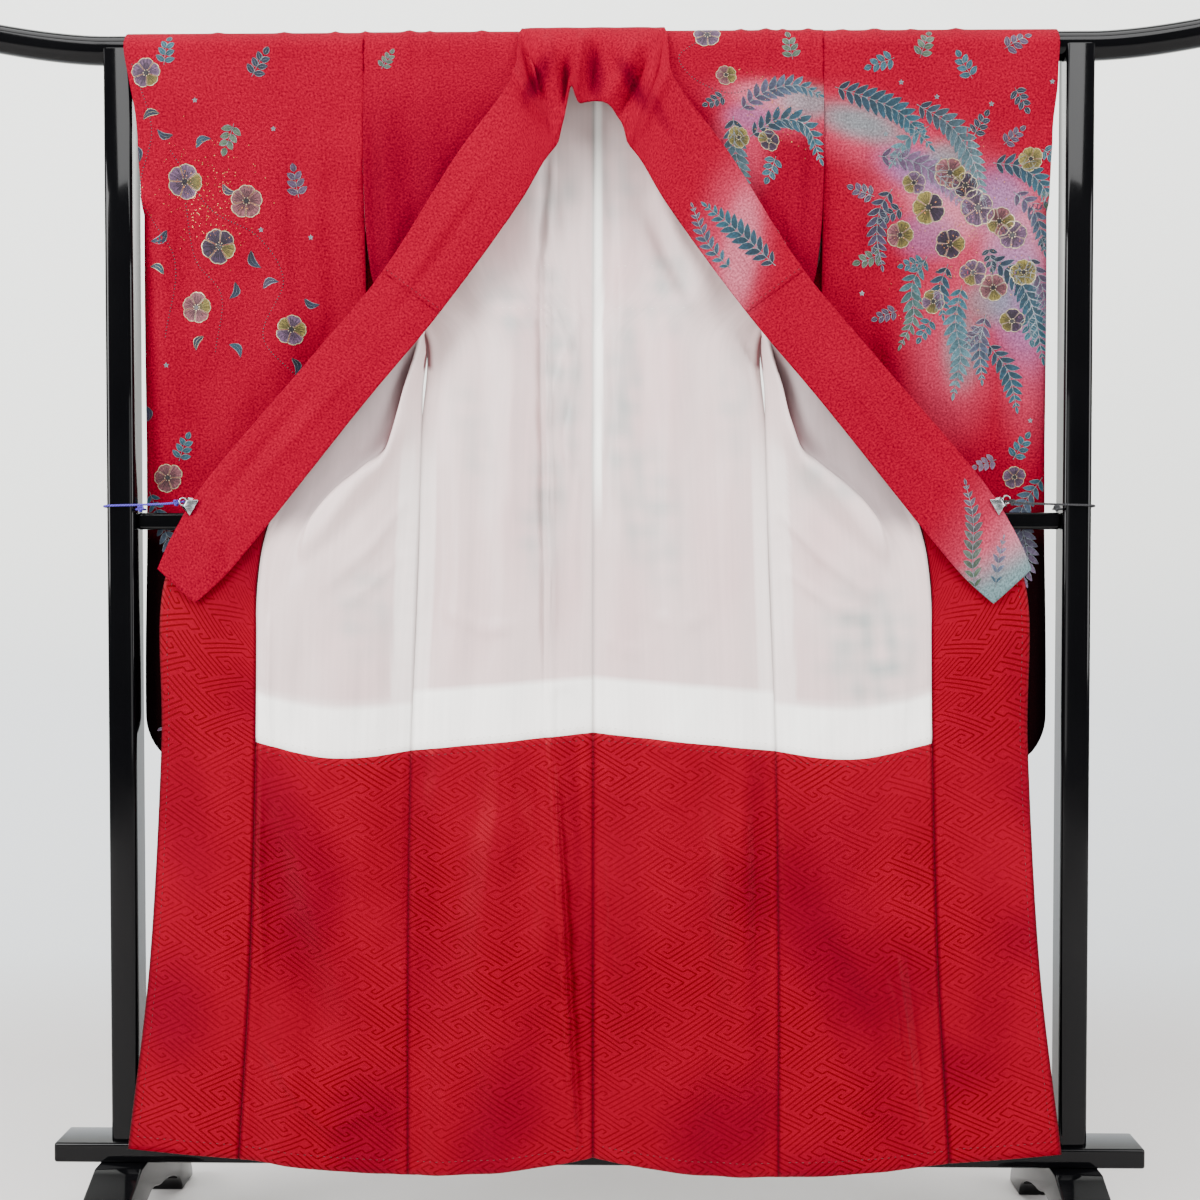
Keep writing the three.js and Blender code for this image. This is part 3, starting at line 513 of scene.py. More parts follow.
def solid(name, profile, start, end, axis, soften, segments=4, material=lacquer):
    """A prism of a profile between two places along X or Z, with every edge softened."""
    mesh = bmesh.new()
    rings = []
    for place in (start, end):
        ring = [(place, a, b) if axis == "X" else (a, b, place) for a, b in profile]
        rings.append([mesh.verts.new(np.array(p) * MM) for p in ring])
    count = len(profile)
    for k in range(count):
        mesh.faces.new((rings[0][k], rings[0][(k + 1) % count], rings[1][(k + 1) % count], rings[1][k]))
    mesh.faces.new(rings[0][::-1])
    mesh.faces.new(rings[1])
    bmesh.ops.recalc_face_normals(mesh, faces=mesh.faces)
    sharp = [e for e in mesh.edges if e.calc_face_angle(0) > math.radians(30)]
    bmesh.ops.bevel(mesh, geom=sharp, offset=soften * MM, segments=segments, profile=0.5,
                    affect="EDGES", clamp_overlap=True)
    data = bpy.data.meshes.new(name)
    mesh.to_mesh(data)
    mesh.free()
    data.materials.append(material)
    made = bpy.data.objects.new(name, data)
    bpy.context.scene.collection.objects.link(made)
    data.polygons.foreach_set("use_smooth", np.ones(len(data.polygons), bool))
    data.set_sharp_from_angle(angle=FLAT_EDGE)
    return made


def bezier(start, one, two, end, steps):
    t = np.linspace(0, 1, steps + 1)[1:, None]
    start, one, two, end = (np.array(p, float) for p in (start, one, two, end))
    return ((1 - t) ** 3 * start + 3 * (1 - t) ** 2 * t * one
            + 3 * (1 - t) * t ** 2 * two + t ** 3 * end).tolist()


def make_rail():
    bend = UPRIGHT_X + UPRIGHT_WIDTH / 2 + 2
    sweep = np.linspace(bend, RAIL_HALF - 3, 30)
    dome = RAIL_HALF - 3 + 3 * np.sin(np.linspace(0, math.pi / 2, 6))[1:]
    half = np.concatenate([[220], np.linspace(300, bend - 20, 8), sweep, dome])
    stations = np.concatenate([-half[::-1], half])
    angles = np.linspace(0, math.tau, RAIL_SIDES + 1)[:-1]
    out = np.clip((np.abs(stations) - bend) / (RAIL_HALF - bend), 0, 1)
    into_dome = np.clip((np.abs(stations) - (RAIL_HALF - 3)) / 3, 0, 1)
    radius = RAIL_RADIUS - 4 * (1 - np.sqrt(1 - into_dome ** 2))
    points = np.stack([
        np.repeat(stations[:, None], RAIL_SIDES, 1),
        radius[:, None] * np.cos(angles)[None, :],
        RAIL_HEIGHT + (RAIL_UPTURN * out ** 1.6)[:, None] + radius[:, None] * np.sin(angles)[None, :],
    ], axis=-1).reshape(-1, 3)
    return mesh_object("lacquered_top_rail", points, tube(len(stations), RAIL_SIDES), [lacquer])


def make_upright(name, centre):
    """A post with softened long edges and a round saddle for the rail in its top."""
    soften, saddle = 6.0, RAIL_RADIUS + 0.6
    w, d = UPRIGHT_WIDTH / 2, UPRIGHT_DEPTH / 2
    arc = np.linspace(0, math.pi / 2, 6)
    corner = np.stack([w - soften + soften * np.sin(arc), d - soften + soften * np.cos(arc)], 1)
    flat = np.stack([np.full(26, w), np.linspace(d - soften, soften - d, 28)[1:-1]], 1)
    right = np.concatenate([corner, flat, corner[::-1] * (1, -1)])
    ring = np.concatenate([right, right[::-1] * (-1, 1)])
    top = np.where(np.abs(ring[:, 1]) < saddle,
                   RAIL_HEIGHT - np.sqrt(np.maximum(saddle ** 2 - ring[:, 1] ** 2, 0)),
                   RAIL_HEIGHT - 1.5)
    levels = [np.full(len(ring), height) for height in (140.4, 600.0, 1200.0)] + [top - 1.5, top]
    inset = [1, 1, 1, 1, 0.95]
    points = np.concatenate([np.column_stack([ring * k, z]) for k, z in zip(inset, levels)])
    points[:, 0] += centre
    count = len(ring)
    index = np.arange(len(points)).reshape(-1, count)
    across = np.roll(index, -1, axis=1)
    quads = np.stack([index[:-1], index[1:], across[1:], across[:-1]], -1).reshape(-1, 4).tolist()
    # both ends are closed by strips across the post
    for end, way in ((index[-1], 1), (index[0], -1)):
        quads += [[end[k], end[count - 1 - k], end[count - 2 - k], end[k + 1]][::way]
                  for k in range(count // 2 - 1)]
    post = mesh_object(name, points, [[int(i) for i in q] for q in quads], [lacquer])
    post.data.set_sharp_from_angle(angle=FLAT_EDGE)
    return post


def make_foot(name, centre):
    reach, top = 218, 111.2
    profile = [(-reach, 0), (-reach + 62, 0)]
    profile += bezier((-156, 0), (-148, 38), (-70, 50), (-44, 52), 14)
    profile += bezier((-44, 52), (-26, 54), (-16, 62), (0, 62), 8)
    profile += bezier((0, 62), (16, 62), (26, 54), (44, 52), 8)
    profile += bezier((44, 52), (70, 50), (148, 38), (156, 0), 14)
    profile += [(reach, 0)]
    profile += bezier((reach, 0), (reach, 50), (110, 84), (56, top), 18)
    profile += [(-56, top)]
    profile += bezier((-56, top), (-110, 84), (-reach, 50), (-reach, 0), 18)[:-1]
    return solid(name, profile, centre - 34, centre + 34, "X", 3.0)


def make_stand():
    def bar(half_depth, low, high):
        return [(-half_depth, low), (half_depth, low), (half_depth, high), (-half_depth, high)]

    rail = make_rail()
    middle = solid("lacquered_middle_rail", bar(11, 1015, 1039), -655.7, 655.7, "X", 4.5)
    base = solid("lacquered_base_bar", bar(35, 111.5, 140), -775, 775, "X", 4.0)
    pieces = [(rail, "top_rail"), (middle, "middle_rail"), (base, "base_bar")]
    for side, name in ((-1, "left"), (1, "right")):
        pieces.append((make_upright(f"lacquered_upright_{name}", side * UPRIGHT_X), f"upright_{name}"))
        pieces.append((make_foot(f"lacquered_foot_{name}", side * UPRIGHT_X), f"foot_{name}"))
    for piece, cad_node in pieces:
        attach(piece, "root")
        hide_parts(cad_node)


make_stand()


# ---------- the kimono's shape

SHOULDER, NECK_HALF, NECK_SEAM_ANGLE, BODY_WRAP = 322.7, 90, 52, 23
CLOTH_STEP = 9.5  # mm between rows of the finished grids

# Heights of the back panel from the hem up, with its depth, side edge and the depth of its folds.
BACK_AT = [101, 400, 702, 1027, 1150, 1290, 1345, 1400, 1500, 1600, 1695]
BACK_DEPTH = [-43, -36, -26, -14.5, -9, -2, 4, 10, 19, 22, 23]
BACK_SIDE = [262, 262, 258, 247, 244, 241, 296, 321, 322.7, 322.7, 322.7]
BACK_FOLD = [10, 13, 14, 15, 16, 16, 13, 9, 4, 0, 0]
BACK_HEM_RISE = 26

# The front of a body panel from the shoulder down: side edge, crest, lip, fold, strip, and the edge
# sewn to the collar and the overlap. Each is X, Y, Z.
FRONT_ROWS = np.reshape(rows("""
    322.7 -25 1650  266 -25 1652  210 -25 1654  156 -26 1656  122 -28 1657  101 -30 1658
    322.9 -25 1566  250 -25 1570  170 -25 1576  126 -31 1582  138 -36 1584  152 -37 1586
    322.6 -25 1506  250 -26 1510  172 -26 1518  140 -32 1525  165 -38 1530  190 -39 1535
    317 -25 1410  258 -27 1415  192 -27 1424  164 -33 1432  198 -39 1446  238 -40 1460
    304 -18 1350  258 -24 1351  218 -27 1354  200 -33 1360  236 -40 1378  278 -41 1396
    241 -2 1290  240 -12 1293  237 -22 1297  242 -31 1304  268 -40 1330  301 -42 1352
    243 -6 1210  251 -20 1212  263 -36 1216  262 -18 1228  300 -37 1246  344 -43 1258
    245 -11 1110  266 -28 1106  296 -45 1110  292 -20 1130  340 -38 1152  393 -44 1153
    247 -15 1030  302 -39 1036  356 -53 1070  352 -32 1084  390 -40 1104  424 -45 1088
    249 -18 970  325 -44 973  404 -56 1004  404 -42 1020  436 -42 1030  456 -46 1018
    251 -20 915  330 -43 918  395 -52 924  430 -50 930  452 -48 934  470 -47 938
    258 -26 702  318 -42 694  375 -50 694  415 -51 701  446 -50 709  473.8 -49 716
    262 -36 400  320 -46 400  375 -53 400  415 -55 401  450 -55 401  482.8 -55 400
    262 -43 101  320 -52 106  380 -58 112  425 -61 118  462 -61 124  498.8 -60 128
    """), (-1, 6, 3))
FRONT_SEAM_ROW = 11  # where the white lining meets the red one

OVERLAP_ROWS = np.reshape(rows("""
    303 -42.6 1351  310 -43 1354
    346 -43.6 1258  350 -44 1294
    395 -44.6 1153  413 -46 1216
    426 -45.6 1088  463 -48 1154
    458 -46.6 1018  498 -49 1102
    472 -47.6 938  544 -49.5 1046
    472.6 -48 860  600 -49.5 946
    474.4 -49.3 716  606 -52 715
    483.3 -55 400  624 -57 400
    499.3 -60 128  655 -61 142
    """), (-1, 2, 3))


def back_rows(across):
    """The back panel's control rows, from the hem up. across is 0 at the side, 1 at the middle."""
    control = []
    for at, depth, side, fold in zip(BACK_AT[:-1], BACK_DEPTH, BACK_SIDE, BACK_FOLD):
        ripple = 0.36 * (1 - np.cos(math.tau * across)) + 0.15 * (1 - np.cos(3 * math.tau * across))
        rise = BACK_HEM_RISE * across ** 2 * ease(-at, -700, -101)
        # the seam of the linings also runs higher at the middle
        rise = rise + 26 * across * math.exp(-((at - 702) / 180) ** 2)
        side = side + (0.4 if at < 1345 else 0)
        control.append(np.stack([side + (0.15 - side) * across, depth - fold * ripple, at + rise], -1))
    return control


def body_rows(columns):
    """All control rows of a body panel from the back hem over the shoulder, and where the front starts."""
    across = np.linspace(0, 1, columns)
    control = back_rows(across)
    for angle in (0, 24, NECK_SEAM_ANGLE, NECK_SEAM_ANGLE + 4, 84, 112, 140, 170):
        a = math.radians(angle)
        end = NECK_HALF + angle / 30 if angle > NECK_SEAM_ANGLE else 0.15
        control.append(np.stack([SHOULDER + (end - SHOULDER) * across,
                                 np.full(columns, BODY_WRAP * math.cos(a)),
                                 np.full(columns, RAIL_HEIGHT + BODY_WRAP * math.sin(a))], -1))
    front = smooth_curve(np.swapaxes(FRONT_ROWS, 0, 1), across * 5)
    return np.array(control + list(np.swapaxes(front, 0, 1))), len(control)


def seam_dip(distance, depth=1.6, reach=5.0):
    """The cloth turns in towards a seam."""
    return -depth * np.exp(-(distance / reach) ** 2)


def puckers(distance, along, seed, height=0.9, reach=16.0, length=22.0):
    """Little uneven tucks that a row of stitches draws into the cloth beside it."""
    return height * np.exp(-distance / reach) * waves(distance * 0.4, along, length, seed)


# Creases of the back panel and of the front below the pocket, seen from the front. The numbers are
# height towards the viewer, half width, softness, and the points (X, Z) measured from the middle.
BACK_CREASES = {-1: strokes("""
    5.4 4 0.1  -57 1552  -66 1400  -64 1180  -60 960  -58 700
    -4 8 0.6  -68 1552  -77 1400  -74 1180  -71 960  -69 700
    4.6 4 0.2  -58 690  -50 560  -42 410  -34 260  -24 130
    -3.4 7 0.6  -49 690  -41 560  -32 410  -23 260  -14 130
    2 4 0.3  -36 1300  -31 1180  -37 1060
    1.7 4 0.3  -26 1390  -22 1290  -28 1210
    1.6 5 0.4  -18 1120  -27 1010  -22 900
    2.2 9 0.6  -110 1330  -116 1160  -112 1000
    1.5 6 0.5  -45 1500  -38 1420  -42 1340
    2.4 16 0.9  -190 1180  -188 980  -196 780
    -2.6 22 1  -150 1250  -152 1000  -148 800
    3.4 26 1  -118 650  -150 480  -168 300
    -3 30 1  -200 640  -215 430  -232 240
    2 18 1  -86 430  -100 300  -92 170
    2.4 7 0.5  -212 900  -150 872  -96 884
    1.8 6 0.5  -70 780  -40 800  -12 792
    1.5 3 0.2  -70 1398  -38 1393  -6 1396
    1.5 3 0.2  -168 1332  -104 1328  -40 1334
    2.2 4 0.3  -64 1350  -44 1296  -20 1240
    2 4 0.3  -16 1330  -40 1262  -58 1200
    2.2 4 0.3  -58 1180  -38 1120  -14 1076
    -2 5 0.4  -30 1210  -46 1150  -36 1090
    -4.2 20 1  -226 1120  -216 960  -226 800
    4.2 18 1  -96 620  -66 470  -74 320
    """), 1: strokes("""
    2.8 9 0.6  34 1480  40 1330  36 1150  42 980
    -2.2 14 0.9  60 1470  70 1300  66 1120  72 940
    2.4 14 0.8  104 1400  112 1220  106 1040  112 860
    -2.6 20 1  148 1330  154 1130  148 930
    2 7 0.5  18 1300  22 1210  16 1130
    2.8 18 0.9  196 1200  192 1000  200 800
    1.6 5 0.4  60 900  120 880  180 900
    1.6 4 0.4  12 860  50 842  88 850
    3 34 1  70 660  92 470  78 260
    -3.2 26 1  180 660  206 480  226 300
    2.6 22 1  150 520  168 350  160 180
    1.8 5 0.4  30 640  90 628  140 636
    1.5 4 0.4  20 560  26 480  20 390
    -4 12 0.9  228 640  234 500  236 380
    -3.4 16 1  18 1560  26 1440  20 1320
    3 12 0.9  86 1520  120 1430  168 1350
    -3 12 0.9  70 1480  110 1390  160 1300
    2.2 4 0.3  196 1290  226 1240  240 1180
    2 4 0.3  60 720  90 706  130 712
    """)}
DOOR_CREASES = {-1: strokes("""
    3 12 0.6  -262 1200  -300 1120  -352 1050  -400 985
    -2.6 14 0.9  -258 1150  -300 1070  -360 1000  -430 950
    2.4 9 0.6  -262 1060  -312 990  -380 930
    1.8 6 0.4  -270 980  -318 930  -368 900
    2 14 0.8  -300 900  -306 800  -300 720
    2.6 30 1  -350 880  -346 780  -352 700
    -2 18 1  -400 900  -404 800  -398 710
    2 6 0.5  -452 900  -455 790  -452 690
    3.2 26 1  -440 640  -380 480  -330 330
    -3.4 30 1  -450 520  -400 360  -350 220
    2.6 8 0.6  -470 300  -410 210  -370 170  -300 200
    2 5 0.3  -466 640  -468 500  -462 380
    1.6 4 0.3  -474 620  -477 520
    """), 1: strokes("""
    3 12 0.6  262 1190  304 1110  360 1040  404 980
    -2.6 14 0.9  258 1140  300 1064  362 996  430 944
    2.6 8 0.5  262 1040  320 976  390 922
    2.2 7 0.5  266 960  330 912  400 884
    2.4 24 1  330 880  334 790  328 710
    -2.2 16 0.9  380 900  388 800  382 706
    2.2 10 0.6  430 900  436 800  430 700
    3.4 34 1  300 620  350 470  420 340
    -3.2 30 1  310 460  370 330  440 220
    2.8 5 0.3  424 420  436 330  452 220  462 150
    -2.2 6 0.5  440 420  452 320  466 220  478 150
    2 4 0.3  404 400  424 340  430 270
    1.8 6 0.5  330 250  380 210  430 200
    """)}


def seam_line(u):
    """1 on both edges of a cloth and 0 within a few mm of them."""
    return np.maximum(ease(-u, -5, 0), ease(u - u[:, -1:], -5, 0))


def armhole_edge(u, z):
    """The lining's edge in the armhole, where the red cloth is turned over it."""
    return ease(-u, -8, -5) * (z > 1240) * (z < 1650)


def held(distance, reach=12.0):
    """0 on a seam and 1 away from it, so that two cloths stay together where they are sewn."""
    return ease(distance, 0, reach)


def fold_body(grid, u, v, over, front_start, side):
    """Folds for one body panel, along the normal that points out of the garment."""
    x, z = side * grid[..., 0], grid[..., 2]
    row = np.arange(len(grid))[:, None]
    behind = row < over
    # seen from the front the back panel shows its lining, so height towards the viewer is inwards
    inwards = -2.2 * creases(x, z, BACK_CREASES[side]) * ease(-z, -1640, -1560)
    fold = np.where(behind & (z < 1640), inwards, 0)
    below = ease(-z, -1215, -1120) * (row >= front_start)
    fold = fold - 2.1 * creases(x, z, DOOR_CREASES[side]) * below
    above = ease(z, 1150, 1260) * (row >= front_start)
    fold = fold + creases(x, z, FRONT_CREASES[side]) * above
    soft = waves(u, v * 0.3, 90, 11 + side) * 1.6 + waves(u, v * 0.5, 34, 21 + side) * 0.5
    wide = u[:, -1:] * np.ones_like(u)
    to_seam, to_side = wide - u, u
    away = ease(np.abs(z - RAIL_HEIGHT), 20, 120)
    fold = fold + soft * away
    fold = fold + (puckers(to_seam, v, 31 + side, 1.4) + puckers(to_side, v, 41 + side, 1.4)) * away
    # the doubled cloth of a seam stands a little towards the viewer beside it
    ridge = 1.1 * np.exp(-((to_seam - 9) / 6) ** 2) + 1.1 * np.exp(-((to_side - 9) / 6) ** 2)
    fold = fold - ridge * np.where(behind, 1, below)
    return fold * held(to_seam) * np.where(z < RAIL_HEIGHT - 60, held(to_side), 1)


FRONT_CREASES = {-1: strokes("""
    6 15 0.9  -296 1640  -292 1500  -284 1380  -270 1280
    -5 11 0.9  -312 1600  -310 1480  -304 1370
    3.6 16 0.9  -236 1640  -226 1520  -214 1420
    -3.4 14 0.9  -262 1630  -256 1500  -244 1400
    """), 1: strokes("""
    5 13 0.9  290 1640  286 1520  282 1400
    -4.4 12 0.9  308 1620  306 1500  300 1390
    3.4 12 0.9  226 1640  236 1540  246 1440
    -3 12 0.9  262 1620  262 1520  262 1420
    """)}


# ---------- the kimono's body

# the third colour below is painted shade, laid where shade falls on the red cloths
RED, DEEP_RED, SHADE_RED, BLACK = (linear(c) for c in ("#70021a", "#590216", "#430111", "#040304"))
WHITE, PALE_ROSE, GHOST, HEM_RED = (linear(c) for c in ("#f8f6f1", "#cbb5b3", "#7d918f", "#6f0217"))
PINK, BLUSH, LILAC, SEA = (linear(c) for c in ("#8a2c40", "#9d5f6d", "#5f5072", "#3b6a6b"))
# the first two colours below are painted shade in the pocket of the front lining
POCKET_SHADE_PINK, POCKET_SHADOW_RED, ROSE_TINT = (linear(c) for c in ("#8f7f80", "#4a0613", "#c09a9b"))
# painted shade along the seams: grey on the white lining and dark red on the red silk
SEAM_SHADE_GREY, SEAM_SHADE_RED = (linear(c) for c in ("#7d7573", "#2a0108"))

OUTER_PLY = (0.15, 1.05)  # distances from the grid along its outward normal
LINING_PLY = (-0.95, -0.15)
STITCH_DEPTH = -1.1  # of a stitch's middle, just past the lining's face

# Gathers where the cloth bends over the rail: height, half width, softness, then points by X and by
# the distance over the shoulder fold, which is negative behind.
GATHERS = strokes("""
    2.4 6 0.6  -366 -70  -365 0  -360 90
    2 5 0.5  -322 -50  -323 0  -318 70
    2.8 8 0.7  -262 -90  -259 0  -266 130
    1.8 5 0.5  -232 -60  -230 0  -238 80
    2.2 7 0.7  -160 -80  -158 0  -150 60
    2.2 6 0.6  206 -70  207 0  212 90
    2.8 8 0.7  240 -100  243 0  238 120
    2 5 0.5  268 -60  266 0  272 80
    2.6 7 0.6  300 -80  302 0  298 110
    2.2 6 0.6  352 -70  350 0  356 90
    2.8 9 0.7  398 -90  396 0  404 120
    2 6 0.5  446 -70  448 0  442 80
    2.4 8 0.7  512 -80  510 0  518 100
    2 7 0.7  -440 -60  -438 0  -446 90
    1.8 7 0.7  -530 -70  -532 0  -526 80
    """)


def over_fold(grid, v):
    """Distance along the cloth from its highest row, negative behind."""
    return v - v[np.argmax(grid[:, grid.shape[1] // 2, 2])][None, :]


def clad(name, grid, ply, material, uv, colour, cad_node, mirrored=False):
    """One ply as a finished piece that stands for its CAD node."""
    if mirrored:
        grid, uv, colour = mirror(grid), uv[:, ::-1], colour[:, ::-1]
    grid = placed(grid)
    piece = shell(name, grid, grid_normals(grid), ply[0], ply[1], material, uv, colour)
    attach(piece, "root")
    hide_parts(cad_node)
    return piece


def tinted(base, layers):
    """A colour for each point: base, then each (amount, colour) laid over it."""
    colour = base * np.ones(np.broadcast(*[amount for amount, _ in layers]).shape + (3,))
    for amount, tint in layers:
        amount = np.clip(amount, 0, 1)[..., None]
        colour = colour * (1 - amount) + tint * amount
    return colour


def make_body(name, side):
    control, front_start = body_rows(73)
    seam_rows = (BACK_AT.index(702), front_start + FRONT_SEAM_ROW)
    last = len(control) - 1
    at = np.concatenate([even_places(control, CLOTH_STEP, 0, seam_rows[0]),
                         even_places(control, CLOTH_STEP, *seam_rows)[1:],
                         even_places(control, CLOTH_STEP, seam_rows[1], last)[1:]])
    grid = smooth_curve(control, at)
    normal = grid_normals(grid)
    u, v = measured(grid)
    first, second = (int(np.argmin(np.abs(at - k))) for k in seam_rows)
    over = int(np.searchsorted(at, len(BACK_AT) - 1))
    start = int(np.searchsorted(at, front_start))
    fold = fold_body(grid, u, v, over, start, side)
    s = over_fold(grid, v)
    fold = fold + creases(side * grid[..., 0], s, GATHERS) * (np.abs(s) < 160)
    for row in (first, second):
        beside = np.abs(v - v[row])
        fold = fold - seam_dip(beside, 1.0, 4.0) + puckers(beside, u, 60 + row, 0.7, 12.0, 26.0)
    grid = grid + normal * fold[..., None]
    uv = np.stack([u, v], -1)
    x, z = side * grid[..., 0], grid[..., 2]
    q = -s
    # painted shade: darker red on the front of the body below the shoulder, more on the left side
    near = (q < 0) & (z > 1200)
    shade = near * ease(-z, -1700, -1500) * (0.5 if side < 0 else 0.3)
    red = tinted(RED, [(shade, SHADE_RED)] + body_clouds(x, q, side) + [
        (ease(-z + 60 * waves(x, z, 500, 8), -720, -500), BLACK)])
    behind = (np.arange(len(at)) < over)[:, None]
    bands = lining_bands(x, z, u, behind, v - v[first], v[second] - v, side)
    across = np.linspace(0, 1, grid.shape[1])[None, :] * np.ones_like(x)
    # painted shade in the pocket of the front lining: grey-pink on the strip that runs down behind the
    # lip, dark red deep in the pocket
    in_pocket = ~behind & (z > 1000)
    strip = ease(across, 0.46, 0.56) * in_pocket * ease(z, 1000, 1040)
    deep = strip * ease(-across, -0.72, -0.6) * ease(z, 1110, 1150) * ease(-z, -1300, -1240)
    # painted shade along the seams of the lining: grey at both edges of the cloth
    white = tinted(PALE_ROSE, [(rose_tints(x, z, side), ROSE_TINT), (armhole_edge(u, z), DEEP_RED),
                               (lining_ghosts(x, z, side), GHOST),
                               (bands, WHITE), (0.9 * strip, POCKET_SHADE_PINK), (deep, POCKET_SHADOW_RED),
                               (0.6 * seam_line(u), SEAM_SHADE_GREY)])
    # painted shade on the red silk: darker in the hollows between its folds and along the seams
    hem = tinted(HEM_RED, [(0.7 * ease(waves(u, v, 300, 19 + side), 0, 1), DEEP_RED),
                           (hem_shades(x, z, side), SHADE_RED), (0.85 * seam_line(u), SEAM_SHADE_RED)])
    left = side < 0
    outer = clad(f"crepe_body_{name}", grid, OUTER_PLY, crepe, uv, red,
                 f"body_{name}", left)
    lining = clad(f"white_lining_{name}", grid[first:second + 1], LINING_PLY, plain_silk,
                  uv[first:second + 1], white[first:second + 1], f"body_lining_{name}",
                 left)
    back = clad(f"red_back_hem_{name}", grid[:first + 1], LINING_PLY, damask, uv[:first + 1],
                hem[:first + 1], f"back_hem_lining_{name}", left)
    front = clad(f"red_front_hem_{name}", grid[second:], LINING_PLY, damask, uv[second:],
                 hem[second:], f"front_hem_lining_{name}", left)
    flat = np.minimum.accumulate(grid[..., 0], axis=1) - 0.001 * np.arange(grid.shape[1])
    shown = mirror(grid) if left else grid
    host = Host(placed(shown), -flat[:, ::-1] if left else flat, q[:, 0], OUTER_PLY[1])
    decorate_shoulder(host, side)
    grid, normal = (placed(shown), grid_normals(placed(shown)))
    near = slice(4, -4)
    short = [(int(np.argmin(np.abs(grid[:over, 40, 2] - z))), part) for z, part in (
        (1394, slice(2, 20) if left else slice(-20, -2)),
        (1330, slice(8, 34) if left else slice(-34, -8)))]
    white_rows = stitches(f"white_stitches_{name}", grid, normal, STITCH_DEPTH,
                          short + [(first + 1, near), (second - 1, near)], white_thread)
    red_rows = stitches(f"red_stitches_{name}", grid, normal, STITCH_DEPTH,
                        [(2, near), (-3, near), (first - 1, near), (second + 1, near)],
                        red_thread)
    return outer, lining, back, front, host.finish(f"dyed_spray_body_{name}"), white_rows, red_rows


def body_clouds(x, q, side):
    """Soft sprayed colour on the outer cloth: (how much, colour) for the body panels."""
    if side < 0:
        return [(blobs(x, q, rows("-150 330 120 90 20 0.6")), PINK),
                (blobs(x, q, rows("-170 350 70 50 20 0.6")), LILAC)]
    return [
        (blobs(x, q, rows("""
            262 -132 84 34 -8 0.85, 206 -190 34 70 0 0.7, 190 240 150 90 0 0.8
            """)), PINK),
        (blobs(x, q, rows("250 -120 50 20 -8 0.6, 180 260 90 50 0 0.6")), BLUSH),
        (blobs(x, q, rows("300 -124 40 22 0 0.6, 240 230 60 36 0 0.5")), SEA),
        (blobs(x, q, rows("222 -150 34 20 0 0.5")), LILAC),
    ]


def hem_shades(x, z, side):
    """Painted shade: the red silk is darker in the hollows between its folds."""
    if side < 0:
        spots = rows("""
            -575 620 34 130 8 0.5, -540 960 40 90 20 0.6, -24 520 16 240 4 0.7, -250 560 30 200 0 0.5
            -395 420 50 90 30 0.5, -90 250 40 90 0 0.4
            """)
    else:
        spots = rows("""
            610 780 30 120 10 0.5, 470 1000 40 70 -30 0.5, 232 520 20 230 0 0.8, 360 330 36 230 24 0.6
            40 500 30 220 0 0.35, 560 380 30 150 0 0.5
            """)
    return 0.42 * blobs(x, z, spots)


def rose_tints(x, z, side):
    """The red cloth glows through the thin silk in long soft patches."""
    if side < 0:
        spots = rows("""
            -110 1380 40 150 12 0.6, -100 1080 34 170 -4 0.5, -180 900 60 150 6 0.35
            -36 960 24 200 0 0.4, -330 820 50 90 10 0.35
            """)
    else:
        spots = rows("""
            60 1460 50 120 -10 0.6, 90 1230 44 150 4 0.55, 180 1000 44 170 0 0.4, 60 860 44 120 0 0.4
            330 980 60 80 30 0.5, 300 800 40 80 0 0.35
            """)
    return blobs(x, z, spots) * (0.7 + 0.3 * waves(x, z * 0.4, 60, 27))


def lining_ghosts(x, z, side):
    """Where the dyed spray of the outer cloth shows faintly through the lining."""
    if side < 0:
        spots = rows("""
            -46 1250 26 130 6 0.6, -70 1040 30 90 -8 0.45, -120 1330 30 60 20 0.45
            -320 900 40 60 0 0.35, -60 1500 40 50 0 0.4, -170 1150 24 80 12 0.3
            """)
    else:
        spots = rows("""
            40 1200 26 120 -4 0.65, 80 1040 40 100 10 0.5, 104 1350 34 60 0 0.5, 330 1100 50 50 30 0.5
            385 850 60 80 0 0.7, 30 1500 36 60 0 0.4, 200 1180 26 80 0 0.35
            """)
    return blobs(x, z, spots) * (0.55 + 0.45 * waves(x, z, 40, 29))


def lining_bands(x, z, u, behind, above_back, above_front, side):
    """Doubled silk shows whiter: a deep band over the red hem, and one beside each side seam."""
    hem = np.where(behind, ease(-above_back, -86, -80), ease(-above_front, -78, -72))
    beside = np.where(behind, ease(-u, -24, -20), ease(-u, -34, -30)) * (0.4 if side < 0 else 0.34)
    beside = beside * ease(-z, -1200, -1060)
    centre = ease(-np.abs(x - 6), -8, -6) * behind * ease(z, 1000, 1100)
    return np.maximum(np.maximum(hem, beside), centre) * (0.9 + 0.1 * waves(x, z, 120, 33))


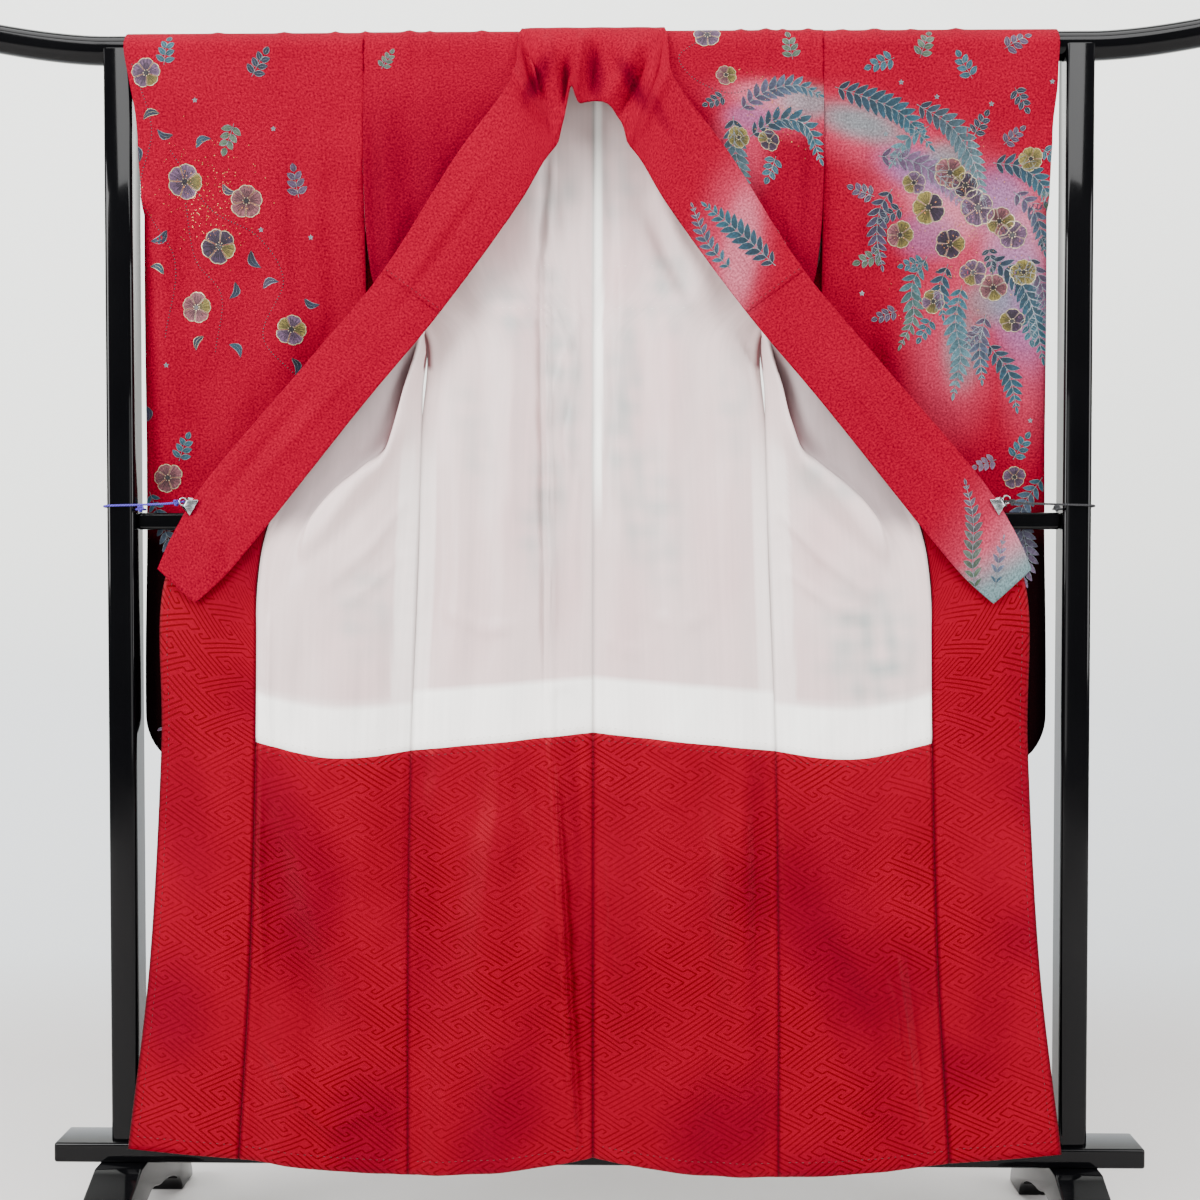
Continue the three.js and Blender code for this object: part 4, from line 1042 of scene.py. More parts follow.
def make_overlap(name, side):
    middle = OVERLAP_ROWS.mean(axis=1) + np.array([0, -2, 0])
    across = smooth_curve(np.stack([OVERLAP_ROWS[:, 0], middle, OVERLAP_ROWS[:, 1]]),
                          np.linspace(0, 2, 27))
    control = np.swapaxes(across, 0, 1)
    grid = smooth_curve(control, even_places(control, CLOTH_STEP))
    u, v = measured(grid)
    x, z = side * grid[..., 0], grid[..., 2]
    wide = u[:, -1:] * np.ones_like(u)
    hang = ease(-z, -1040, -960)
    fold = -2.2 * creases(x, z, OVERLAP_CREASES[side]) * hang
    fold = fold + waves(u, v * 0.4, 60, 71 + side) * 1.2 * hang
    fold = fold + puckers(u, v, 73 + side, 1.3) - 1.6 * np.exp(-((u - 9) / 6) ** 2) * hang
    fold = fold + puckers(wide - u, v, 75 + side, 1.5, 14, 34) * ease(-z, -960, -880)
    fold = fold * held(u)
    uv = np.stack([u + 330, v + 1700], -1)
    red = tinted(RED, [(ease(-z + 60 * waves(x, z, 500, 8), -720, -500), BLACK)])
    # painted shade on the red silk: darker in the hollows between its folds and along the seams
    hem = tinted(HEM_RED, [(0.7 * ease(waves(u, v, 260, 39 + side), 0, 1), DEEP_RED),
                           (hem_shades(x, z, side), SHADE_RED), (0.85 * seam_line(u), SEAM_SHADE_RED)])
    left = side < 0
    outer = clad(f"crepe_overlap_{name}", grid, OUTER_PLY, crepe, uv, red,
                 f"overlap_{name}", left)
    lining = clad(f"red_overlap_lining_{name}", grid, LINING_PLY, damask, uv, hem,
                  f"overlap_lining_{name}", left)
    grid = placed(mirror(grid) if left else grid)
    edge = 2 if left else -3
    seams = stitches(f"red_overlap_stitches_{name}", grid, grid_normals(grid), STITCH_DEPTH,
                     [(slice(40, -3), edge), (-3, slice(2, -2))], red_thread)
    return outer, lining, seams


OVERLAP_CREASES = {-1: strokes("""
    3 22 1  -540 880  -560 740  -548 600
    -3.2 20 1  -590 860  -588 700  -570 520
    2.4 6 0.4  -500 600  -520 440  -512 300
    2.2 5 0.4  -496 760  -506 660  -500 560
    -2.4 12 0.9  -560 460  -590 330  -600 210
    2.6 14 0.9  -610 420  -630 300  -640 190
    """), 1: strokes("""
    3.2 20 1  520 900  524 780  512 660
    -3.4 22 1  590 880  572 740  560 620
    2.6 12 0.9  598 640  590 480  600 330
    -2.2 14 0.9  540 520  552 380  560 250
    2.2 5 0.4  504 560  512 430  520 320
    1.8 4 0.3  500 800  508 720  502 640
    """)}

# ---------- the sleeves

SLEEVE_START, SLEEVE_WRAP, SLEEVE_BOTTOM, CUFF_OPENING = 323.1, 22.2, 670, 230
SLEEVE_AT = [670, 785, 1039, 1152, 1341, 1480, 1562, 1650, 1697]
SLEEVE_MIDDLE = [19, 19, 18, 15, 9, 3, 1, 0, 0]
SLEEVE_HALF = [4, 4, 3.5, 5, 11, 18, 22, 26.4, 26.4]
SLEEVE_EDGE = [647, 647, 644, 642, 641, 639, 642, 648, 650]

# Height outwards, half width, softness, and points by X and height.
SLEEVE_FRONT_CREASES = {-1: strokes("""
    2.6 14 0.9  -380 1600  -392 1450  -384 1290
    -2.4 12 0.9  -416 1590  -428 1440  -420 1280
    2.2 12 0.9  -560 1560  -552 1400  -560 1250
    2 9 0.8  -480 980  -486 860  -478 750
    2 6 0.5  -600 1000  -560 985  -500 990
    """), 1: strokes("""
    2.6 12 0.8  380 1600  372 1430  380 1270
    -2.4 13 0.9  430 1590  440 1440  432 1290
    2.4 10 0.8  520 1610  530 1480  524 1340
    2 7 0.6  600 1500  596 1380  602 1260
    2.2 10 0.8  540 980  548 860  542 750
    """)}
SLEEVE_BACK_CREASES = strokes("""
    2.6 14 0.9  390 1590  402 1420  394 1260
    -2.4 14 0.9  450 1590  462 1430  456 1270
    2.4 12 0.9  570 1570  560 1400  568 1240
    2.2 12 0.9  500 980  508 860  500 740
    """)


def sleeve_edge(height, flare):
    straight = eased_table(height, SLEEVE_AT, SLEEVE_EDGE) + flare * ease(height, 1600, 1700)
    into_corner = np.maximum(SLEEVE_BOTTOM + 80 - height, 0)
    return straight - 80 + np.sqrt(np.maximum(6400 - into_corner ** 2, 0))


def sleeve_face(height, across, side, flare):
    """Points of the sleeve's front (side -1) or back (side 1)."""
    edge = sleeve_edge(height, flare)
    # below the armhole the open edge of the back hangs in behind the body
    tucked = 25 * ease(height, 1200, 1300) * ease(-height, -1475, -1440)
    inner = SLEEVE_START - (tucked if side > 0 else 0)
    x = inner + (edge - inner) * across
    cuff_end = RAIL_HEIGHT + SLEEVE_WRAP - CUFF_OPENING
    closed_side = edge - x + 200 * ease(height, cuff_end - 30, cuff_end + 60)
    from_closed = np.minimum(closed_side, height - SLEEVE_BOTTOM)
    spread = eased_table(height, SLEEVE_AT, SLEEVE_HALF)
    half = 0.1 + (spread - 0.1) * ease(from_closed, 0, 32) ** 0.8
    clear = 1 - np.exp(-((height - 1027) / 110) ** 2)
    ripple = 4 * clear * ease(-height, -1640, -1400) * (np.sin(x / 27) + 0.6 * np.sin(x / 15 + 1))
    y = eased_table(height, SLEEVE_AT, SLEEVE_MIDDLE) + side * half + ripple
    return np.stack([x, y, height * np.ones_like(x)], -1)


def make_sleeve(name, side, flare):
    across = np.linspace(1, 0, 57)
    heights = np.concatenate([[670.6], np.arange(676, 1690, CLOTH_STEP), [1697]])
    back = [sleeve_face(np.full(57, z), across, 1, flare) for z in heights]
    over = []
    for angle in np.arange(32, 149, 11.6):
        a = math.radians(angle)
        z = RAIL_HEIGHT + SLEEVE_WRAP * math.sin(a)
        edge = float(sleeve_edge(z, flare))
        over.append(np.stack([SLEEVE_START + (edge - SLEEVE_START) * across,
                              np.full(57, SLEEVE_WRAP * math.cos(a)), np.full(57, z)], -1))
    front = [sleeve_face(np.full(57, z), across, -1, flare) for z in heights[::-1]]
    control = np.array(back + over + front)
    grid = smooth_curve(control, even_places(control, CLOTH_STEP))
    normal = grid_normals(grid)
    u, v = measured(grid)
    x, z = side * grid[..., 0], grid[..., 2]
    s = over_fold(grid, v)
    front_half = s > 0
    from_sewn = np.minimum(u + 300 * (z > 1500), z - SLEEVE_BOTTOM)
    sewn = ease(from_sewn, 2, 30)
    clear = 1 - np.exp(-((z - 1027) / 60) ** 2)
    hang = ease(-z, -1660, -1560)
    fold = np.where(front_half, 1.9 * creases(x, z, SLEEVE_FRONT_CREASES[side]),
                    1.7 * creases(side * x, z, SLEEVE_BACK_CREASES)) * clear * sewn
    fold = fold + waves(u, v * 0.3, 80, 81 + side) * 1.8 * hang * clear * sewn
    fold = fold + waves(u, v * 0.5, 26, 83 + side) * (0.45 if side < 0 else 1.0) * hang * clear * sewn
    fold = fold + creases(x, s, GATHERS) * (np.abs(s) < 160)
    wide = u[:, -1:] * np.ones_like(u)
    fold = fold + puckers(wide - u, v, 85 + side, 0.8, 14, 24) * ease(np.abs(s), 10, 60)
    fold = fold + puckers(u, v, 87 + side, 0.9, 12, 30) * (z < 1480) * sewn ** 0.2 * 0.4
    grid = grid + normal * fold[..., None]
    ends_dark = ease(-z + 24 * waves(x, z, 220, 45 + side), -1085, -972)
    colour = tinted(RED, sleeve_clouds(x, -s, side) + [(ends_dark, BLACK)])
    sleeve = clad(f"crepe_sleeve_{name}", grid, OUTER_PLY, crepe, np.stack([u, v], -1), colour,
                  f"sleeve_{name}", side < 0)
    shown = mirror(grid) if side < 0 else grid
    host = Host(placed(shown), shown[..., 0], -s[:, 0], OUTER_PLY[1])
    decorate_sleeve(host, side)
    return sleeve, host.finish(f"dyed_spray_sleeve_{name}")


def sleeve_clouds(x, q, side):
    """Soft sprayed colour behind the motifs of the sleeves."""
    if side < 0:
        return [(blobs(x, q, rows("-520 360 120 110 0 0.7")), PINK),
                (blobs(x, q, rows("-540 380 60 70 0 0.5")), LILAC)]
    return [
        (blobs(x, q, rows("""
            420 -176 120 46 -24 0.85, 552 -316 84 150 36 0.9, 500 -250 120 60 -30 0.8
            512 -440 60 120 0 0.75, 620 -440 44 130 0 0.8, 520 300 140 160 20 0.85
            """)), PINK),
        (blobs(x, q, rows("""
            500 -262 60 34 -30 0.7, 592 -300 44 70 20 0.7, 540 310 80 90 0 0.7
            """)), BLUSH),
        (blobs(x, q, rows("""
            462 -214 60 26 -24 0.8, 566 -250 40 40 0 0.7, 600 -380 40 100 10 0.7, 470 -300 40 30 0 0.5
            470 250 50 60 0 0.6
            """)), LILAC),
        (blobs(x, q, rows("""
            376 -146 60 22 -16 0.7, 522 -456 26 54 0 0.5, 560 -392 36 30 0 0.5, 500 -196 34 22 -20 0.6
            600 380 50 60 0 0.6
            """)), SEA),
    ]


# ---------- the collar

COLLAR_WRAP = 26.6
# At the neck: angles round the rail, widths there, then front, low and free points.
NECK_ROWS = [
    (54, 150, (0, 0), [(0, -30, 1690), (0, -32, 1652), (0, -33, 1613)]),
    (54, 150, (50, 45), [(42, -31, 1688), (34, -30, 1650), (22, -36, 1606)]),
    (56, 152, (84, 78), [(74, -32, 1684), (56, -32, 1634), (38, -38, 1586)]),
    (80, 155, (93, 86), [(80, -35, 1676), (62, -38, 1622), (44, -40, 1572)]),
    (104, 160, (98, 91), [(84, -37, 1669), (64, -41, 1614), (46, -42, 1562)]),
    (128, 166, (102, 95), [(86, -39, 1662), (66, -43, 1608), (49, -44, 1551)]),
    (152, 174, (104, 98), [(89, -40, 1655), (69, -44, 1600), (53, -45, 1546)]),
]
# Further on: the edge sewn to the body, then three points across, then the free edge.
COLLAR_ROWS = np.reshape(rows("""
    106 -32 1684  99 -36 1669  90 -40 1643  71 -45 1592  57 -46 1541
    110 -39 1648  101 -42 1633  92 -45 1604  80 -47 1566  68 -48 1526
    190 -44 1535  170 -47 1524  147 -49 1507  123 -50 1489  100 -49 1472
    293 -47 1374  275 -50 1361  256 -52 1346  235 -53 1331  214 -52 1316
    400 -51 1246  381 -54 1233  361 -56 1219  340 -57 1205  319 -56 1190
    550 -54 1069  531 -57 1054  511 -59 1038  490 -60 1021  468 -59 1004
    590 -55 1002  573 -57 988  555 -59 975  536 -60 961  517 -59 947
    609 -55 960  596 -57 948  583 -58 936  570 -58 924  556 -58 912
    """), (-1, 5, 3))
COVER_ROW = len(NECK_ROWS) + 3  # the cover collar ends this far down each side

# Folds of the collar as it gathers at the back of the neck, and on its way to the clips. Height
# towards the viewer, half width, softness, and points by X and Z.
COLLAR_CREASES = strokes("""
    11 8 0.5  -114 1664  -94 1620  -70 1580
    -12 12 0.6  -94 1680  -78 1640  -60 1600
    13 8 0.5  -66 1700  -56 1650  -48 1610
    -11 7 0.3  -40 1670  -38 1625  -37 1600
    12 7 0.3  -14 1706  -20 1655  -27 1606
    -11 11 0.5  6 1696  0 1650  -4 1615
    12 14 0.7  64 1696  44 1650  16 1606
    -12 8 0.4  76 1676  56 1632  34 1588
    6 8 0.7  108 1656  86 1608  64 1562
    3.4 12 0.9  -140 1530  -200 1440  -260 1350
    -3 10 0.9  -160 1480  -220 1390  -285 1300
    3 8 0.8  -330 1240  -400 1160  -470 1080
    -3 9 0.9  -380 1220  -450 1140  -530 1040
    5 9 0.8  -558 1030  -536 996  -530 950
    -5 8 0.8  -536 1040  -512 1000  -508 955
    3.4 12 0.9  150 1520  205 1430  262 1340
    -3 9 0.9  128 1500  180 1410  240 1325
    3 10 0.9  330 1250  400 1160  480 1070
    -3 8 0.8  380 1240  450 1150  530 1050
    3.6 9 0.8  566 1036  548 996  540 950
    """)


def collar_grid():
    half = []
    for start, end, wide, front in NECK_ROWS:
        row = []
        for k in range(4):
            a = math.radians(start + (end - start) * k / 3)
            row.append((wide[0] + (wide[1] - wide[0]) * k / 3, COLLAR_WRAP * math.cos(a),
                        RAIL_HEIGHT + COLLAR_WRAP * math.sin(a)))
        half.append(np.array(row + front, float))
    for row in COLLAR_ROWS:
        half.append(smooth_curve(row, np.linspace(0, 4, 7)))
    other = [row * np.array([-1, 1, 1]) for row in half[1:]]
    control = np.array(half[::-1] + other)
    control = np.swapaxes(smooth_curve(np.swapaxes(control, 0, 1), np.linspace(0, 6, 33)), 0, 1)
    centre = len(half) - 1
    cover = (centre - COVER_ROW, centre + COVER_ROW)
    last = len(control) - 1
    at = np.concatenate([even_places(control, 5.0, 0, cover[0]), even_places(control, 5.0, *cover)[1:],
                         even_places(control, 5.0, cover[1], last)[1:]])
    return smooth_curve(control, at), [int(np.argmin(np.abs(at - k))) for k in cover]


def make_collar():
    grid, (first, end) = collar_grid()
    normal = grid_normals(grid)
    u, v = measured(grid)
    x, y, z = (grid[..., k] for k in range(3))
    wide = u[:, -1:] * np.ones_like(u)
    fold = -creases(x, z, COLLAR_CREASES) * ease(-y, 18, 30)
    fold = fold + puckers(u, v, 91, 0.7, 12, 22) + puckers(wide - u, v, 92, 0.5, 10, 30)
    fold = fold + waves(u, v, 60, 93) * 0.6
    grid = grid + normal * fold[..., None]
    # the free edge is drawn up into a narrow notch where the folds meet
    notch = np.exp(-((x + 31) / 7) ** 2) * ease(u - wide, -52, 0) * (y < 0) * (z > 1500)
    grid[..., 2] += 36 * notch
    uv = np.stack([u, v], -1)
    from_end = v + 0.35 * (u - 55)
    # painted shade: darker red in the folds of the collar at the neck, on its front
    colour = tinted(RED, [
        (blobs(x, z, rows("""
            -78 1640 11 34 -24 0.8, -38 1640 7 30 -4 0.7, 4 1650 12 34 4 0.7
            58 1632 10 40 28 0.8, 88 1600 8 40 30 0.4
            """)) * (y < 0), SHADE_RED),
        (blobs(x, z, [(196, 1410, 46, 110, -8, 0.7)]) * (x > 0), PINK),
        (blobs(x, z, [(204, 1400, 24, 80, -8, 0.55)]) * (x > 0), BLUSH),
        (ease(-from_end, -165, -40) * 0.8, PINK), (ease(-from_end, -90, -10) * 0.8, BLUSH),
        (ease(-from_end + 0.5 * (u - 50), -70, -8) * 0.85, SEA)])
    collar = clad("crepe_collar", grid, (-0.8, 0.8), crepe, uv, colour, "collar")
    part = slice(first, end + 1)
    cover = clad("crepe_cover_collar", grid[part], (-2.0, -1.1), crepe, uv[part], colour[part],
                 "cover_collar")
    outside = placed(grid)[:, ::-1]
    end_host = Host(outside[:first + 1], u[:first + 1, ::-1], v[:first + 1, 0], 0.8)
    frond(end_host, [(88, 26), (70, 66), (44, 104), (22, 150)], 20, SAGE, PLUM)
    frond(end_host, [(60, 14), (40, 40), (20, 60)], 15, TEAL, MAUVE)
    end_spray = end_host.finish("dyed_spray_collar_end")
    whole = placed(grid)
    across = slice(2, -2)
    seams = stitches("red_collar_stitches", whole, normal, -2.2,
                     [(first + 1, across), (end - 1, across)], red_thread, 7.0, 3.2)
    cover_host = Host(outside[part], u[part, ::-1], v[part, 0], 2.0)
    middle = v[first, 0]
    frond(cover_host, [(30, middle + 28), (46, middle + 90), (66, middle + 150)], 24, NAVY, TEAL)
    frond(cover_host, [(84, middle + 60), (92, middle + 110), (84, middle + 160)], 17, TEAL, PLUM)
    return collar, cover, end_spray, cover_host.finish("dyed_spray_cover_collar") + [seams]


# ---------- rows of stitches and dots

def bead_nodes():
    """Dots or stitches set along a path, lying on the cloth that the path follows."""
    tree = bpy.data.node_groups.new("beads_on_a_path", "GeometryNodeTree")
    sizes = [(name, "Float") for name in ("Spacing", "Length", "Width", "Height", "Unevenness")]
    for name, kind in [("Path", "Geometry"), *sizes, ("Seed", "Int"), ("Material", "Material")]:
        tree.interface.new_socket(name, in_out="INPUT", socket_type=f"NodeSocket{kind}")
    tree.interface.new_socket("Beads", in_out="OUTPUT", socket_type="NodeSocketGeometry")
    given = node(tree, "NodeGroupInput").node.outputs
    curve = node(tree, "GeometryNodeMeshToCurve", {"Mesh": given["Path"]})
    places = node(tree, "GeometryNodeResampleCurve", {"Curve": curve, "Length": given["Spacing"]},
                  mode="LENGTH")
    normal = node(tree, "GeometryNodeInputNamedAttribute", {"Name": "cloth_normal"},
                  data_type="FLOAT_VECTOR")
    turn = node(tree, "FunctionNodeAxesToRotation", [normal, node(tree, "GeometryNodeInputTangent")],
                primary_axis="Z", secondary_axis="X")
    size = node(tree, "ShaderNodeCombineXYZ", [given["Length"], given["Width"], given["Height"]])
    low = node(tree, "ShaderNodeMath", [1.0, given["Unevenness"]], operation="SUBTRACT")
    high = node(tree, "ShaderNodeMath", [1.0, given["Unevenness"]], operation="ADD")
    uneven = node(tree, "FunctionNodeRandomValue", {2: low, 3: high, "Seed": given["Seed"]}, 1,
                  data_type="FLOAT")
    scaled = node(tree, "ShaderNodeVectorMath", {0: size, "Scale": uneven}, operation="SCALE")
    bead = node(tree, "GeometryNodeMeshIcoSphere", {"Radius": 0.5, "Subdivisions": 2})
    laid = node(tree, "GeometryNodeInstanceOnPoints", {
        "Points": places, "Instance": bead, "Rotation": turn, "Scale": scaled})
    smooth = node(tree, "GeometryNodeSetShadeSmooth", {"Geometry": laid})
    real = node(tree, "GeometryNodeRealizeInstances", {"Geometry": smooth})
    done = node(tree, "GeometryNodeSetMaterial", {"Geometry": real, "Material": given["Material"]})
    node(tree, "NodeGroupOutput", {"Beads": done})
    return tree


def beaded(name, paths, material, spacing, size, unevenness, seed):
    """One plain mesh of beads along several paths, each a pair of points and cloth normals in mm."""
    points = np.concatenate([p for p, _ in paths]) * MM
    normals = np.concatenate([n for _, n in paths])
    edges, start = [], 0
    for path, _ in paths:
        edges += [(start + k, start + k + 1) for k in range(len(path) - 1)]
        start += len(path)
    mesh = bpy.data.meshes.new(f"{name}_path")
    mesh.from_pydata(points.tolist(), edges, [])
    kept = mesh.attributes.new("cloth_normal", "FLOAT_VECTOR", "POINT")
    kept.data.foreach_set("vector", normals.ravel())
    guide = bpy.data.objects.new(f"{name}_path", mesh)
    bpy.context.scene.collection.objects.link(guide)
    modifier = guide.modifiers.new("beads", "NODES")
    modifier.node_group = BEADS
    values = {"Spacing": spacing * MM, "Length": size[0] * MM, "Width": size[1] * MM,
              "Height": size[2] * MM, "Unevenness": unevenness, "Seed": seed, "Material": material}
    for socket in BEADS.interface.items_tree:
        if socket.name in values:
            modifier[socket.identifier] = values[socket.name]
    laid = guide.evaluated_get(bpy.context.evaluated_depsgraph_get())
    piece = bpy.data.objects.new(name, bpy.data.meshes.new_from_object(laid))
    piece.data.name = name
    bpy.context.scene.collection.objects.link(piece)
    bpy.data.objects.remove(guide)
    bpy.data.meshes.remove(mesh)
    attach(piece, "root")
    return piece


def make_thread(name, dark, light):
    """Twisted silk thread or thick dye: a soft-edged glint along each little bead."""
    material, tree, shader = new_material(name)
    strand = grain(tree, node(tree, "ShaderNodeTexCoord", output="Object"), 0.9)
    fill(tree, shader, {
        "Base Color": node(tree, "ShaderNodeValToRGB", [strand], stops=[(0.3, dark), (0.7, light)]),
        "Normal": node(tree, "ShaderNodeBump", {
            "Height": strand, "Distance": 0.2 * MM, "Strength": 0.6}),
        "Roughness": 0.5})
    return material


BEADS = bead_nodes()
red_thread = make_thread("red_silk_thread", "#2c0108", "#450812")
white_thread = make_thread("white_silk_thread", "#b9b4ad", "#e6e2da")
dye_dots = make_thread("thick_dark_dye", "#08060a", "#1c1420")


def stitches(name, grid, normal, depth, seams, thread, spacing=9.0, length=3.6):
    """Rows of running stitches on one face of a cloth; each row is a pair of index slices."""
    outwards = math.copysign(1, depth)
    paths = [(grid[part] + normal[part] * depth, normal[part] * outwards) for part in seams]
    return beaded(name, paths, thread, spacing, (length, 0.8, 0.6), 0.12, 7)


# ---------- clips and ties

CLIP_AT, CLIP_TILT = np.array([562, -55.2, 1048]), 30


def round_bar(name, path, radius, material, sides=12):
    """A round wire or cord along points, with its ends closed and rounded over."""
    path = np.asarray(path, float)
    along = unit(np.gradient(path, axis=0))
    up = np.cross(along[0], [0.3, 0.2, 1.0])
    frames = []
    for t in along:
        up = up - t * np.dot(up, t)
        up /= np.linalg.norm(up)
        frames.append((up.copy(), np.cross(t, up)))
    rings, where = [], []
    run = run_along(path)
    angles = np.linspace(0, math.tau, sides + 1)[:-1]
    rounding = (0.15, 0.55, 0.85)
    stations = [(0, -math.sqrt(1 - k * k) * radius, k) for k in rounding]
    stations += [(n, 0.0, 1.0) for n in range(len(path))]
    stations += [(len(path) - 1, math.sqrt(1 - k * k) * radius, k) for k in rounding[::-1]]
    for n, push, scale in stations:
        side, other = frames[n]
        centre = path[n] + along[n] * push
        around = np.cos(angles)[:, None] * side + np.sin(angles)[:, None] * other
        rings.append(centre + radius * scale * around)
        where.append(run[n] + push)
    uv = np.stack([np.tile(angles * radius, len(rings)), np.repeat(where, sides)], -1)
    return mesh_object(name, np.concatenate(rings), tube(len(rings), sides), [material], uv)


def cord_path(side):
    """From the clip to the upright and once round it, just above the middle rail."""
    start = side * CLIP_AT[0] + KIMONO_X
    reach = UPRIGHT_WIDTH / 2 + 3.3
    inside, outside = side * (UPRIGHT_X - reach), side * (UPRIGHT_X + reach)
    depth, soften = UPRIGHT_DEPTH / 2 + 3.3, side * 5
    points = [
        (start + side * 11.2 * math.cos(math.radians(CLIP_TILT)), -55.2, 1048 + 5.6),
        (start + side * 34, -47.2, 1051), (inside - side * 14, -depth - 5, 1050),
        (inside + soften, -depth, 1049.5), (outside - soften, -depth, 1048.5),
        (outside, -depth + 5, 1048), (outside, depth - 5, 1046.5), (outside - soften, depth, 1046),
        (inside + soften, depth, 1045), (inside, depth - 5, 1044.5), (inside, -depth + 5, 1043.5),
        (inside - side * 2, -depth - 2, 1043.4), (inside - side * 9, -depth - 7, 1044.4),
    ]
    return smooth_curve(points, np.linspace(0, len(points) - 1, 157))


def make_clip(name, side):
    """A small spring clip over the collar's edge: two jaws joined by a bow."""
    jaw = rows("-7 -5.5, 7 -5.5, 10 -2.5, 10 2.5, 7 5.5, -7 5.5, -7 2.3, 3 2.3, 3 -2.3, -7 -2.3")
    clip = solid(f"steel_clip_{name}", jaw, -12.5, 12.5, "Z", 0.7, 2, steel)
    angle = math.radians(CLIP_TILT)
    for vertex in clip.data.vertices:
        a, b, c = vertex.co
        # the profile's first axis runs out along the edge's normal, the third along the edge
        c *= 1 - 0.62 * float(ease(a, -0.003, 0.001)) + 0.25 * float(ease(a, 0.006, 0.009))
        x = a * math.cos(angle) - c * math.sin(angle)
        z = a * math.sin(angle) + c * math.cos(angle)
        vertex.co = (side * (x + CLIP_AT[0] * MM) + KIMONO_X * MM, b + CLIP_AT[1] * MM,
                     z + CLIP_AT[2] * MM)
    if side < 0:
        clip.data.flip_normals()
    clip.data.set_sharp_from_angle(angle=FLAT_EDGE)
    return clip


def knot_path(centre, size):
    """A small closed overhand knot."""
    t = np.linspace(0, math.tau, 49)
    return np.asarray(centre) + size * np.stack([
        np.sin(t) + 2 * np.sin(2 * t), -1.1 * np.sin(3 * t), np.cos(t) - 2 * np.cos(2 * t)], -1)


def make_ties():
    for side, name, cord in ((-1, "left", violet_cord), (1, "right", black_cord)):
        clip = make_clip(name, side)
        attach(clip, "root")
        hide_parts(f"collar_clip_{name}")
        path = cord_path(side)
        t = np.linspace(0, 1, 33)
        if side < 0:
            # a ring through the clip's tail
            turn = math.tau * t
            bend = path[0] + np.stack([5 * np.cos(turn) - 1, 0 * t - 1.5, 5 * np.sin(turn)], -1)
        else:
            # an open hook
            turn = math.tau * (0.06 + 0.78 * t)
            bend = path[0] + np.stack([5 * np.cos(turn) + 2, 0 * t - 1.5, 5.5 * np.sin(turn) + 2], -1)
        loop = round_bar(f"steel_loop_{name}", bend, 1.1, steel, 10)
        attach(loop, "root")
        tie = round_bar(f"tie_cord_{name}", path, 1.5, cord, 10)
        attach(tie, "root")
        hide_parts(f"clip_cord_{name}")
        for k, centre in enumerate((path[6] + (0, -1.5, 0), path[-1])):
            knot = round_bar(f"cord_knot_{name}_{k + 1}", knot_path(centre, 1.3), 1.4, cord, 8)
            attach(knot, "root")


# ---------- painted and stitched motifs



class Host:
    """A cloth that motifs lie on. p is X from the kimono's middle, and q is the distance up the
    cloth to its fold over the rail, negative in front and positive behind."""

    def __init__(self, grid, p, q, face):
        normal = grid_normals(grid)
        if q[0] > q[-1]:
            grid, p, q, normal = grid[::-1], p[::-1], q[::-1], normal[::-1]
        if p[0, 0] > p[0, -1]:
            grid, p, normal = grid[:, ::-1], p[:, ::-1], normal[:, ::-1]
        self.grid, self.p, self.q, self.normal, self.face = grid, p, q, normal, face
        self.points, self.quads, self.colours, self.slots, self.uv = [], [], [], [], []
        self.count, self.vines = 0, []

    def place(self, p, q, lift):
        """Points on the cloth's outer face, raised by lift."""
        shape = np.shape(p)
        p, q = np.ravel(p), np.ravel(q)
        r = np.interp(q, self.q, np.arange(len(self.q)))
        r0 = np.minimum(r.astype(int), len(self.q) - 2)
        w = (r - r0)[:, None]
        columns = np.arange(self.p.shape[1])
        out = []
        for field in (self.grid, self.normal):
            pair = []
            for step in (0, 1):
                c = np.array([np.interp(a, self.p[b], columns) for a, b in zip(p, r0 + step)])
                c0 = np.minimum(c.astype(int), len(columns) - 2)
                k = (c - c0)[:, None]
                pair.append(field[r0 + step, c0] * (1 - k) + field[r0 + step, c0 + 1] * k)
            out.append(pair[0] * (1 - w) + pair[1] * w)
        normal = unit(out[1])
        return (out[0] + normal * (self.face + lift)).reshape(*shape, 3), normal.reshape(*shape, 3)

    def patch(self, local, colour, lift, slot=0):
        """A small sheet of quads, from a grid of (p, q), lying on the cloth."""
        local = np.asarray(local, float)
        points, normal = self.place(local[..., 0], local[..., 1], lift)
        down, across = local.shape[:2]
        index = np.arange(down * across).reshape(down, across) + self.count
        quads = np.stack([index[:-1, :-1], index[:-1, 1:], index[1:, 1:], index[1:, :-1]], -1)
        quads = quads.reshape(-1, 4)
        up = points[-1, across // 2] - points[0, across // 2]
        out = points[down // 2, -1] - points[down // 2, 0]
        if np.dot(np.cross(out, up), normal[down // 2, across // 2]) < 0:
            quads = quads[:, ::-1]
        self.points.append(points.reshape(-1, 3))
        self.quads.append(quads)
        self.colours.append((np.asarray(colour, float) * np.ones((down, across, 1))).reshape(-1, 3))
        self.slots.append(np.full(len(quads), slot))
        self.uv.append(local.reshape(-1, 2))
        self.count += down * across

    def finish(self, name):
        piece = mesh_object(name, np.concatenate(self.points), np.concatenate(self.quads),
                            [painted_silk, metal_thread], np.concatenate(self.uv),
                            np.concatenate(self.colours), np.concatenate(self.slots))
        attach(piece, "root")
        if not self.vines:
            return [piece]
        return [piece, beaded(f"{name}_dots", self.vines, dye_dots, 4.6,
                              (1.9, 1.9, 0.6), 0.16, 4)]


def turned(local, centre, angle, size=1.0):
    a = math.radians(angle)
    x, y = local[..., 0] * size, local[..., 1] * size
    return np.stack([centre[0] + x * math.cos(a) - y * math.sin(a),
                     centre[1] + x * math.sin(a) + y * math.cos(a)], -1)


